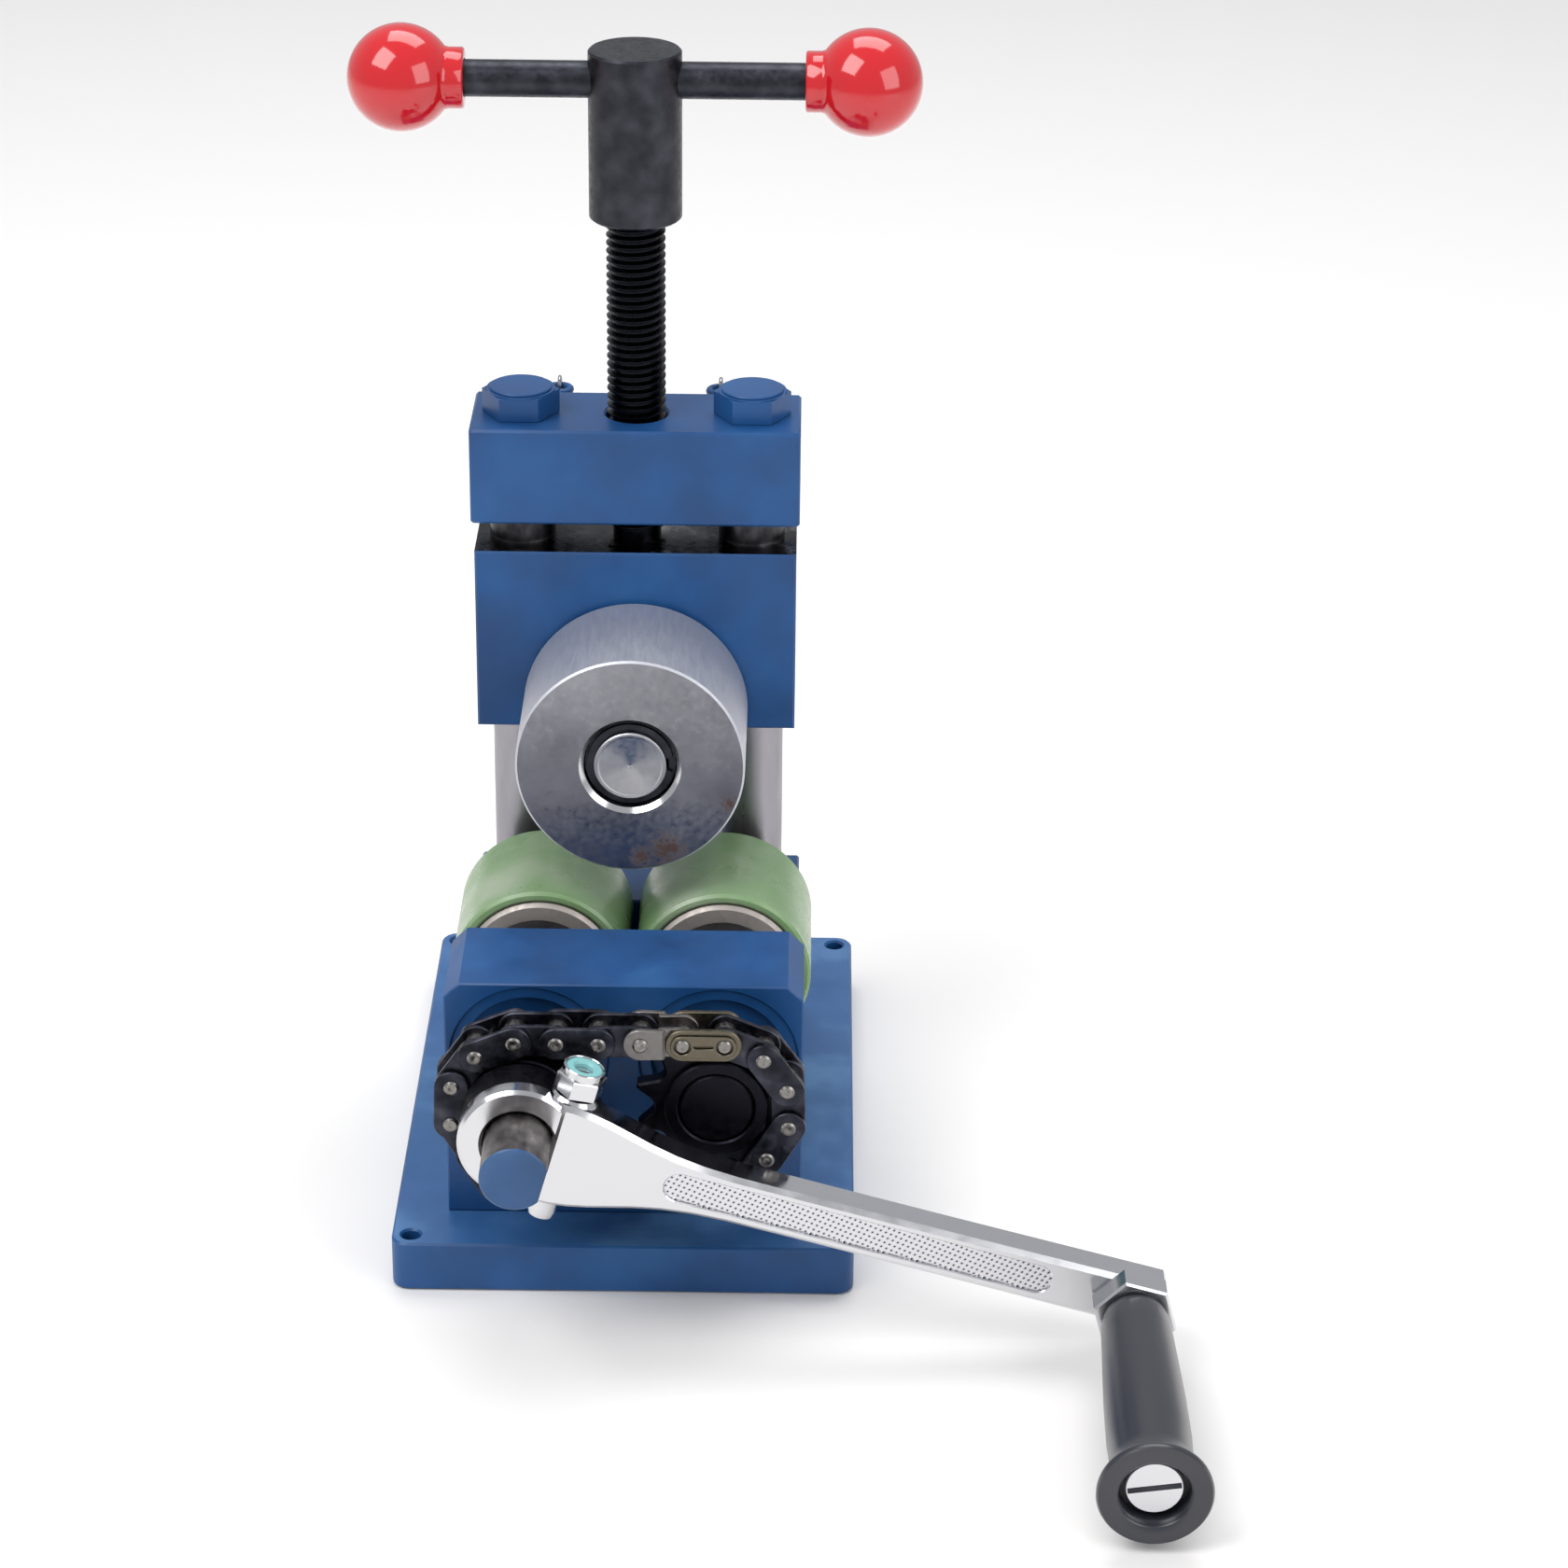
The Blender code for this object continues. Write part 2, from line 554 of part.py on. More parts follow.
shaft_front = ROLLER_FRONT + UPPER_SHAFT_INSET
clip_front = shaft_front + CIRCLIP_AT
clip_seat = SHAFT_RADIUS - CIRCLIP_SEAT_DEEP
shaft_back = REAR_Y + REAR_DEPTH + UPPER_SHAFT_REAR_OUT
profile = [(0.0, shaft_back), (UPPER_SHAFT_REAR_RADIUS, shaft_back), (UPPER_SHAFT_REAR_RADIUS, REAR_Y - GAP),
           (SHAFT_RADIUS, REAR_Y - GAP), (SHAFT_RADIUS, clip_front + CIRCLIP_THICK + GAP),
           (clip_seat, clip_front + CIRCLIP_THICK + GAP), (clip_seat, clip_front - GAP),
           (SHAFT_RADIUS, clip_front - GAP),
           (SHAFT_RADIUS, shaft_front + CORE_STEP), (SHAFT_RADIUS - CORE_STEP, shaft_front),
           (0.0, shaft_front)]
lathe("upper_roller_shaft", profile, SIDES_MID, UPPER_SPOT, ALONG_Y, STEEL)
clip = tube("upper_shaft_circlip", CIRCLIP_RADIUS, clip_seat + GAP, clip_front, clip_front + CIRCLIP_THICK,
            SIDES_MID,
            UPPER_SPOT, ALONG_Y, BLACK)
gap_reach = CIRCLIP_RADIUS + CUT_OVER
combine(clip, box("circlip_gap_cut", (gap_reach, 4 * CIRCLIP_THICK, 2 * CIRCLIP_GAP_HALF),
                  (gap_reach / 2, clip_front, UPPER_Z), STEEL, False), "DIFFERENCE")
as_mesh(slab("upper_shaft_nut", [hexagon(SHAFT_NUT_HALF), circle(UPPER_SHAFT_REAR_RADIUS + GAP, SIDES_MID)],
     -REAR_Y - REAR_DEPTH - GAP - SHAFT_NUT_THICK, -REAR_Y - REAR_DEPTH - GAP, UPPER_SPOT, FACE_FRONT,
     BLACK))
rod("thrust_pad", PAD_RADIUS, POCKET_BOTTOM + GAP, SCREW_FOOT - GAP, SIDES_MID, (0.0, REAR_MID_Y, 0.0),
    UPRIGHT, BRONZE)

# Press screw, hub, bar and knobs: their origins are on the screw's axis
SCREW_SPOT = (0.0, REAR_MID_Y, 0.0)
screw_top = HUB_BOTTOM + SCREW_IN_HUB
profile = [(0.0, screw_top), (SCREW_RADIUS, screw_top), (SCREW_RADIUS, SLIDE_TOP + SCREW_FOOT_NECK),
           (SCREW_FOOT_RADIUS, SLIDE_TOP), (SCREW_FOOT_RADIUS, SCREW_FOOT), (0.0, SCREW_FOOT)]
lathe("press_screw", profile, SIDES_MID, SCREW_SPOT, UPRIGHT, BLACK)
socket = SCREW_RADIUS + GAP
profile = [(0.0, HUB_TOP), (SCREW_HUB_RADIUS - HUB_BREAK, HUB_TOP), (SCREW_HUB_RADIUS, HUB_TOP - HUB_BREAK),
           (SCREW_HUB_RADIUS, HUB_BOTTOM + HUB_BREAK), (SCREW_HUB_RADIUS - HUB_BREAK, HUB_BOTTOM),
           (socket, HUB_BOTTOM), (socket, screw_top + GAP), (0.0, screw_top + GAP)]
hub = lathe("screw_hub", profile, SIDES_MID, SCREW_SPOT, UPRIGHT, BLACK)
reach = SCREW_HUB_RADIUS + CUT_OVER
hole(hub, "bar_hole_cut", BAR_RADIUS + GAP, -reach, reach, SIDES_SMALL, (0.0, REAR_MID_Y, BAR_Z), ALONG_X)
bar_end = KNOB_X - KNOB_RADIUS - KNOB_COLLAR_OUT + KNOB_SOCKET
rod("tommy_bar", BAR_RADIUS, -bar_end, bar_end, SIDES_SMALL, (0.0, REAR_MID_Y, BAR_Z), ALONG_X, BLACK)
ball = [(KNOB_RADIUS * math.sin(math.radians(a)), KNOB_RADIUS * math.cos(math.radians(a)))
        for a in KNOB_MARKS]
collar_low = -KNOB_RADIUS - KNOB_COLLAR_OUT
knob_profile = [(max(r, 0.0), h) for r, h in ball]
knob_profile[0] = (0.0, KNOB_RADIUS)
knob_profile += [(KNOB_COLLAR_RADIUS, collar_low + KNOB_COLLAR_OUT), (KNOB_COLLAR_RADIUS, collar_low),
                 (BAR_RADIUS + GAP, collar_low), (BAR_RADIUS + GAP, collar_low + KNOB_SOCKET + GAP),
                 (0.0, collar_low + KNOB_SOCKET + GAP)]
lathe("right_knob", knob_profile, SIDES_MID, (KNOB_X, REAR_MID_Y, BAR_Z), ALONG_X, RED_PLASTIC)
lathe("left_knob", knob_profile, SIDES_MID, (-KNOB_X, REAR_MID_Y, BAR_Z),
      Matrix.Rotation(-math.pi / 2, 4, "Y"),
      RED_PLASTIC)


def tooth_outline():
    """Eleven teeth with rounded roots, the first root on the object's +Y."""
    outline = []
    for tooth in range(TEETH):
        middle = math.pi / 2 + tooth * STEP_ANGLE
        marks = [(-TOOTH_TIP_SHARE - TOOTH_FLANK_SHARE - TOOTH_TIP_SHARE / 2, TOOTH_FLANK),
                 (-TOOTH_ROOT_SHARE / 2, TOOTH_ROOT), (TOOTH_ROOT_SHARE / 2, TOOTH_ROOT),
                 (TOOTH_TIP_SHARE + TOOTH_FLANK_SHARE + TOOTH_TIP_SHARE / 2, TOOTH_FLANK),
                 ((1.0 - TOOTH_TIP_SHARE) / 2, TOOTH_TIP), ((1.0 + TOOTH_TIP_SHARE) / 2, TOOTH_TIP)]
        outline += [(radius * math.cos(middle + share * STEP_ANGLE),
                     radius * math.sin(middle + share * STEP_ANGLE))
                    for share, radius in marks]
    return outline


# The chain's path: a straight top run, a wrap on each sprocket and a hanging lower run
half_gap = (TOP_SPAN_LINKS * PITCH - CENTRES) / 2
phase = math.asin(half_gap / PIN_CIRCLE)


def chain_pins():
    """Pin places in order, clockwise seen from the front, from the top left pin."""
    run_z = PIN_CIRCLE * math.cos(phase)
    pins = [(LEFT_X - half_gap + i * PITCH, run_z) for i in range(TOP_SPAN_LINKS + 1)]
    wrapped = (CHAIN_LINKS - TOP_SPAN_LINKS - 1) // 4 + 1
    for i in range(1, wrapped + 1):
        angle = math.pi / 2 - phase - i * STEP_ANGLE
        pins.append((RIGHT_X + PIN_CIRCLE * math.cos(angle), PIN_CIRCLE * math.sin(angle)))
    left = []
    for i in range(1, wrapped + 1):
        angle = math.pi / 2 + phase + i * STEP_ANGLE
        left.append((LEFT_X + PIN_CIRCLE * math.cos(angle), PIN_CIRCLE * math.sin(angle)))
    # A link drops from each sprocket, and the links between the two drops hang in a shallow, symmetric run
    links = CHAIN_LINKS - len(pins) - len(left) - 1
    angles = [RUN_LEAN * (links - 1 - 2 * i) / links for i in range(links)]
    span = PITCH * sum(math.cos(angle) for angle in angles)
    across = pins[-1][0] - span / 2
    down = math.sqrt(max(PITCH ** 2 - across ** 2, 0.0))
    run = [(span / 2, pins[-1][1] - down)]
    for angle in angles:
        run.append((run[-1][0] - PITCH * math.cos(angle), run[-1][1] - PITCH * math.sin(angle)))
    return pins + run + left[::-1]


PINS = chain_pins()


def obround(first, second, half):
    """A link plate's outline around two pins."""
    angle = math.atan2(second[1] - first[1], second[0] - first[0])
    outline = []
    for centre, base_angle in ((second, angle - math.pi / 2), (first, angle + math.pi / 2)):
        outline += [(centre[0] + half * math.cos(base_angle + math.pi * i / CHAIN_STEPS),
                     centre[1] + half * math.sin(base_angle + math.pi * i / CHAIN_STEPS))
                    for i in range(CHAIN_STEPS + 1)]
    return outline


def half_plate(centre, reach_x, half):
    """One end of the offset link: round about its pin and square at its reach along X."""
    start = math.pi / 2 if reach_x > 0 else -math.pi / 2
    outline = [(centre[0] + half * math.cos(start + math.pi * i / CHAIN_STEPS),
                centre[1] + half * math.sin(start + math.pi * i / CHAIN_STEPS)) for i in range(CHAIN_STEPS + 1)]
    last = outline[-1][1]
    first = outline[0][1]
    return outline + [(centre[0] + reach_x, last), (centre[0] + reach_x, first)]


INNER_LOW = INNER_HALF_WIDTH
OUTER_LOW = INNER_HALF_WIDTH + PLATE_THICK + LAYER_GAP
OUTER_HIGH = OUTER_LOW + PLATE_THICK
PIN_END = OUTER_HIGH + PIN_PROUD
CHAIN_SPOT = (0.0, CHAIN_Y, AXIS_Z)
OFFSET_AT = 3


def pin_body(label, place, back, front, keep=False):
    """A chain pin along Y."""
    profile = [(0.0, back), (PIN_RADIUS, back), (PIN_RADIUS, front), (0.0, front)]
    return lathe(label, profile, SIDES_PIN, (place[0], CHAIN_Y, AXIS_Z + place[1]), ALONG_Y, CHAIN_STEEL,
                 False, keep)


# The joined run of nineteen links: every piece of it overlaps its neighbours and is united into one body
run_parts = bpy.data.collections.new("chain_run_pieces")
cutters.children.link(run_parts)


def into_run(item):
    """Moves a cutter into the run's own collection."""
    cutters.objects.unlink(item)
    run_parts.objects.link(item)


joined = None
for index in range(CHAIN_LINKS):
    first, second = PINS[index], PINS[(index + 1) % CHAIN_LINKS]
    if index in (OFFSET_AT, OFFSET_AT + 1):
        continue
    is_outer = (index - OFFSET_AT) % CHAIN_LINKS % 2 == 1
    low, high = (OUTER_LOW - 2 * LAYER_GAP, OUTER_HIGH) if is_outer else (INNER_LOW, INNER_LOW + PLATE_THICK)
    half = PLATE_HALF if is_outer else PLATE_HALF - LAYER_GAP
    for way, a, b in (("front", low, high), ("rear", -high, -low)):
        item = as_mesh(slab(f"link_{index}_{way}_add", [obround(first, second, half)], a, b, CHAIN_SPOT,
                            FACE_FRONT,
                            CHAIN_STEEL, joined is None))
        if joined is None:
            joined = item
            joined.name = "chain_run"
        else:
            into_run(item)
for index in range(CHAIN_LINKS):
    if index in (OFFSET_AT, OFFSET_AT + 1, OFFSET_AT + 2):
        continue
    into_run(pin_body(f"pin_{index}_add", PINS[index], PIN_END, -PIN_END))
union = joined.modifiers.new("united", "BOOLEAN")
union.operation = "UNION"
union.solver = "EXACT"
union.operand_type = "COLLECTION"
union.collection = run_parts
union.use_self = True

# The offset link: cranked plates, wide round the run's last roller and narrow inside the connecting link
wide, narrow = PINS[OFFSET_AT], PINS[OFFSET_AT + 1]
far = PINS[OFFSET_AT + 2]
offset_link = pin_body("chain_offset_link", wide, PIN_END, -PIN_END, True)
wide_reach = PITCH - PLATE_HALF - GAP
narrow_reach = PITCH - PLATE_HALF - GAP
for way, sign in (("front", 1), ("rear", -1)):
    spans = ((wide, wide_reach, OUTER_LOW + LAYER_GAP, OUTER_HIGH),
             (narrow, -narrow_reach, INNER_LOW, INNER_LOW + PLATE_THICK))
    for centre, reach_x, a, b in spans:
        a, b = (a, b) if sign > 0 else (-b, -a)
        combine(offset_link,
                as_mesh(slab(f"offset_{way}_{a:.4f}_add", [half_plate(centre, reach_x, PLATE_HALF - GAP)], a,
                             b,
                                          CHAIN_SPOT, FACE_FRONT, CHAIN_STEEL, False)), "UNION")
    a, b = INNER_LOW + LAYER_GAP, OUTER_HIGH - LAYER_GAP
    a, b = (a, b) if sign > 0 else (-b, -a)
    bridge_x = (narrow[0] - narrow_reach + LAYER_GAP, wide[0] + wide_reach - LAYER_GAP)
    bridge_z = (wide[1] - PLATE_HALF / 2, wide[1] + PLATE_HALF / 2)
    bridge = [(bridge_x[0], bridge_z[0]), (bridge_x[1], bridge_z[0]), (bridge_x[1], bridge_z[1]),
              (bridge_x[0], bridge_z[1])]
    combine(offset_link,
            as_mesh(slab(f"offset_bridge_{way}_add", [bridge], a, b, CHAIN_SPOT, FACE_FRONT, CHAIN_STEEL,
                                      False)), "UNION")

# The connecting link with its two pins, and the spring clip on its front
connecting = pin_body("chain_connecting_link", narrow, PIN_END, -PIN_END, True)
combine(connecting, pin_body("connecting_pin_add", far, PIN_END, -PIN_END), "UNION")
for a, b in ((OUTER_LOW, OUTER_HIGH), (-OUTER_HIGH, -OUTER_LOW)):
    combine(connecting,
            as_mesh(slab(f"connecting_plate_{a:.4f}_add", [obround(narrow, far, PLATE_HALF)], a, b,
                         CHAIN_SPOT,
                                     FACE_FRONT, CHAIN_STEEL, False)), "UNION")
for place, label in ((narrow, "near"), (far, "far")):
    for target, name in ((offset_link, "offset"), (joined, "run")):
        if (name == "offset") == (label == "near"):
            hole(target, f"{name}_{label}_pin_cut", PIN_RADIUS + GAP, -PIN_END - CUT_OVER,
                 PIN_END + CUT_OVER, SIDES_PIN,
                 (place[0], CHAIN_Y, AXIS_Z + place[1]), ALONG_Y)
hole(joined, "run_offset_pin_cut", PIN_RADIUS + GAP, -PIN_END - CUT_OVER, PIN_END + CUT_OVER, SIDES_PIN,
     (wide[0], CHAIN_Y, AXIS_Z + wide[1]), ALONG_Y)
clip_holes = [circle(PIN_RADIUS + GAP, SIDES_PIN, place) for place in (narrow, far)]
slot_a = narrow[0] + PIN_RADIUS + CLIP_HALF / 3
slot_b = far[0] - PIN_RADIUS - CLIP_HALF / 3
slot_z = (narrow[1] + far[1]) / 2
clip_slot = [(slot_a, slot_z - CLIP_SLOT_HALF), (slot_b, slot_z - CLIP_SLOT_HALF),
             (slot_b, slot_z + CLIP_SLOT_HALF),
             (slot_a, slot_z + CLIP_SLOT_HALF)]
as_mesh(slab("chain_spring_clip", [obround(narrow, far, CLIP_HALF), *clip_holes, clip_slot],
             OUTER_HIGH + LAYER_GAP,
     OUTER_HIGH + LAYER_GAP + CLIP_THICK, CHAIN_SPOT, FACE_FRONT, CHAIN_STEEL))

# Lower rollers with their shafts, collars, sprockets and end bolts: origins on the shaft axes
for side, x, lead in (("left", LEFT_X, phase), ("right", RIGHT_X, -phase)):
    spot = (x, 0.0, AXIS_Z)
    bolt_seat = END_BOLT_RADIUS + GAP
    core_rear = ROLLER_REAR - CORE_SHORT
    rear_end = core_rear - GAP
    if side == "left":
        neck = CHAIN_Y - SPROCKET_THICK / 2 - HUB_FRONT
        front_profile = [(SHAFT_RADIUS, neck), (CRANK_SHAFT_RADIUS, neck), (CRANK_SHAFT_RADIUS, SHAFT_FRONT),
                         (0.0, SHAFT_FRONT)]
    else:
        flush = CHAIN_Y - SPROCKET_THICK / 2 - HUB_FRONT
        front_profile = [(SHAFT_RADIUS, flush + CORE_STEP), (SHAFT_RADIUS - CORE_STEP, flush), (0.0, flush)]
    profile = [(0.0, rear_end - END_BOLT_DEPTH - GAP), (bolt_seat, rear_end - END_BOLT_DEPTH - GAP),
               (bolt_seat, rear_end),
               (SHAFT_RADIUS, rear_end)] + front_profile
    shaft = lathe(side + "_shaft", profile, SIDES_MID, spot, ALONG_Y, STEEL)
    if side == "left":
        crank_turn = Matrix.Rotation(-CRANK_ANGLE, 4, "Y")
        flat_depth = CRANK_SHAFT_RADIUS - SHAFT_FLAT
        flat_from = EYE_BACK
        away = SHAFT_FLAT + CUT_OVER + flat_depth
        flat_at = crank_turn @ Matrix.Translation((away, 0.0, 0.0))
        combine(shaft,
                box("shaft_flat_cut", (2 * (CUT_OVER + flat_depth), flat_from - SHAFT_FRONT + 2 * CUT_OVER,
                                              3 * CRANK_SHAFT_RADIUS),
                           (x, (flat_from + SHAFT_FRONT) / 2 - CUT_OVER, AXIS_Z), STEEL, False, flat_at),
                           "DIFFERENCE")
    tube(side + "_roller_core", CORE_RADIUS, SHAFT_RADIUS + GAP, ROLLER_FRONT - CORE_STEP, core_rear,
         SIDES_MID, spot,
         ALONG_Y, STEEL)
    tube(side + "_roller_sleeve", LOWER_RADIUS, CORE_RADIUS + GAP, ROLLER_FRONT, ROLLER_REAR, SIDES_LARGE,
         spot, ALONG_Y,
         URETHANE)
    tube(side + "_shaft_collar", COLLAR_RADIUS, SHAFT_RADIUS + GAP, FRONT_Y + FRONT_DEPTH + COLLAR_FRONT_GAP,
         ROLLER_FRONT - CORE_STEP - GAP, SIDES_MID, spot, ALONG_Y, BLACK)
    profile = [(0.0, core_rear + GAP + END_WASHER_THICK + END_HEAD_HEIGHT),
               (END_HEAD_RADIUS, core_rear + GAP + END_WASHER_THICK + END_HEAD_HEIGHT),
               (END_HEAD_RADIUS, core_rear + GAP + END_WASHER_THICK),
               (END_WASHER_RADIUS, core_rear + GAP + END_WASHER_THICK), (END_WASHER_RADIUS, core_rear + GAP),
               (END_BOLT_RADIUS, core_rear + GAP), (END_BOLT_RADIUS, rear_end - END_BOLT_DEPTH),
               (0.0, rear_end - END_BOLT_DEPTH)]
    lathe(side + "_end_bolt", profile, SIDES_SMALL, spot, ALONG_Y, BLACK)
    half = SPROCKET_THICK / 2
    sprocket = as_mesh(slab(side + "_sprocket", [tooth_outline()], -CHAIN_Y - half, -CHAIN_Y + half, spot,
                            Matrix.Rotation(-lead, 4, "Y") @ FACE_FRONT, BLACK))
    back_face = FRONT_Y + BEARING_INSET - HUB_BLOCK_GAP
    front_face = CHAIN_Y - half - HUB_FRONT
    for tag, radius, a, b in (("front", HUB_RADIUS, front_face, CHAIN_Y),
                              ("back", HUB_BACK_RADIUS, CHAIN_Y, back_face)):
        combine(sprocket, rod(f"{side}_{tag}_hub_add", radius, a, b, SIDES_MID, spot, ALONG_Y, BLACK, False),
                "UNION")
    hole(sprocket, side + "_hub_bore_cut", SHAFT_RADIUS + GAP, front_face - CUT_OVER, back_face + CUT_OVER,
         SIDES_MID, spot,
         ALONG_Y)

# Crank arm: its own X runs along the arm, its origin is on the left shaft's axis
CRANK_SPOT = (LEFT_X, 0.0, AXIS_Z)
ARM_TURN = crank_turn @ FACE_FRONT
eye = [(EYE_RADIUS * math.cos(math.radians(a)), EYE_RADIUS * math.sin(math.radians(a))) for a in range(60,
                                                                                                       301,
                                                                                                       15)]
upper = [(ARM_FLARE_AT, ARM_FLARE_HALF), (ARM_NECK_AT, ARM_NECK_HALF), (ARM_WAIST_AT, ARM_HALF),
         (CRANK_LENGTH + ARM_END_EXTRA - ARM_BREAK, ARM_END_HALF),
         (CRANK_LENGTH + ARM_END_EXTRA, ARM_END_HALF - ARM_BREAK)]
outline = eye + [(x, -y) for x, y in upper] + [(x, y) for x, y in reversed(upper)]
arm_front = -EYE_FRONT
arm_back = arm_front - ARM_THICK
arm = as_mesh(slab("crank_arm", [outline], arm_back, arm_front, CRANK_SPOT, ARM_TURN, BRIGHT))
bevel(arm, ARM_BREAK)
panel = obround((PANEL_FROM + PANEL_HALF, 0.0), (PANEL_TO - PANEL_HALF, 0.0), PANEL_HALF)
combine(arm,
        as_mesh(slab("panel_cut", [panel], arm_front - PANEL_DEEP, arm_front + CUT_OVER, CRANK_SPOT,
                     ARM_TURN, STEEL, False)), "DIFFERENCE")
hole(arm, "spindle_bore_cut", SPINDLE_RADIUS + GAP, arm_back - CUT_OVER, arm_front + CUT_OVER, SIDES_SMALL,
     CRANK_SPOT,
     ARM_TURN @ Matrix.Translation((CRANK_LENGTH, 0.0, 0.0)))
combine(arm,
        rod("eye_boss_add", EYE_RADIUS - ARM_LIP, -EYE_BACK, arm_front - ARM_LIP, SIDES_MID, CRANK_SPOT,
            ARM_TURN, STEEL, False), "UNION")
cotter_line = ARM_TURN @ Matrix.Translation((COTTER_OFFSET, 0.0,
                                             -(EYE_BACK + EYE_FRONT) / 2)) @ ALONG_Y.inverted()
combine(arm,
        rod("cotter_seat_add", NUT_SEAT_HALF, -COTTER_TOP, COTTER_TOP, SIDES_SMALL, CRANK_SPOT, cotter_line,
            STEEL,
                 False), "UNION")
bore = CRANK_SHAFT_RADIUS + GAP
hole(arm, "shaft_bore_cut", bore, -EYE_BACK - CUT_OVER, -EYE_FRONT + CUT_OVER, SIDES_MID, CRANK_SPOT,
     ARM_TURN)
hole(arm, "cotter_bore_cut", COTTER_RADIUS + GAP, -COTTER_BOTTOM - CUT_OVER, COTTER_THREAD_TOP + CUT_OVER,
     SIDES_SMALL,
     CRANK_SPOT, cotter_line)

# Cotter pin with the flat that meets the shaft's flat, and its nut
profile = [(0.0, COTTER_THREAD_TOP), (COTTER_THREAD_RADIUS, COTTER_THREAD_TOP),
           (COTTER_THREAD_RADIUS, COTTER_TOP - GAP),
           (COTTER_RADIUS, COTTER_TOP - GAP), (COTTER_RADIUS, -COTTER_BOTTOM + COTTER_RADIUS / 2),
           (COTTER_RADIUS * COTTER_TIP_SHARE, -COTTER_BOTTOM + COTTER_RADIUS / 8), (0.0, -COTTER_BOTTOM)]
cotter = lathe("cotter_pin", profile, SIDES_SMALL, CRANK_SPOT, cotter_line, BRIGHT)
shave = COTTER_RADIUS
flat_x = SHAFT_FLAT + GAP - COTTER_OFFSET - shave
combine(cotter,
        box("cotter_flat_cut", (2 * shave, 4 * COTTER_RADIUS, 2 * COTTER_TOP - 4 * COTTER_RADIUS),
            CRANK_SPOT, STEEL,
                    False, cotter_line @ Matrix.Translation((flat_x, 0.0, 0.0))), "DIFFERENCE")
nut_low = COTTER_TOP + GAP
as_mesh(slab("cotter_nut", [hexagon(NUT_HALF), circle(COTTER_THREAD_RADIUS + GAP, SIDES_SMALL)], nut_low,
             nut_low + NUT_HEIGHT,
     CRANK_SPOT, cotter_line, BRIGHT))

# Grip spindle, its hex and the grip that turns on it: origins on the grip's axis
grip_x = LEFT_X + CRANK_LENGTH * math.cos(CRANK_ANGLE)
grip_z = AXIS_Z + CRANK_LENGTH * math.sin(CRANK_ANGLE)
GRIP_SPOT = (grip_x, 0.0, grip_z)
hex_back = EYE_FRONT - GAP
hex_front = hex_back - HEX_THICK
grip_back = hex_front - GAP
head_back = GRIP_END + GRIP_RECESS - GAP
head_front = head_back - SPINDLE_HEAD_THICK
tail = -arm_back + CUT_OVER
profile = [(0.0, tail), (SPINDLE_RADIUS, tail), (SPINDLE_RADIUS, head_back),
           (SPINDLE_HEAD_RADIUS, head_back),
           (SPINDLE_HEAD_RADIUS, head_front + CORE_STEP), (SPINDLE_HEAD_RADIUS - CORE_STEP, head_front),
           (0.0, head_front)]
spindle = lathe("grip_spindle", profile, SIDES_MID, GRIP_SPOT, ALONG_Y, BRIGHT)
combine(spindle, box("slot_cut", (4 * SPINDLE_HEAD_RADIUS, 2 * SPINDLE_SLOT_DEEP, 2 * SPINDLE_SLOT_HALF),
                     (grip_x, head_front, grip_z), STEEL, False, Matrix.Rotation(SLOT_TURN, 4, "Y")),
                     "DIFFERENCE")
as_mesh(slab("spindle_hex", [hexagon(HEX_HALF, CRANK_ANGLE), circle(SPINDLE_RADIUS + GAP, SIDES_MID)],
             -hex_back, -hex_front,
     GRIP_SPOT, FACE_FRONT, BRIGHT))
length = grip_back - GRIP_END
profile = [(GRIP_RADIUS * reach, grip_back - share * length) for share, reach in GRIP_PROFILE_SHARES]
profile += [(GRIP_RECESS_RADIUS, GRIP_END), (GRIP_RECESS_RADIUS, GRIP_END + GRIP_RECESS),
            (SPINDLE_RADIUS + GAP, GRIP_END + GRIP_RECESS), (SPINDLE_RADIUS + GAP, grip_back)]
lathe("grip", profile, SIDES_MID, GRIP_SPOT, ALONG_Y, GRIP_PLASTIC, True)

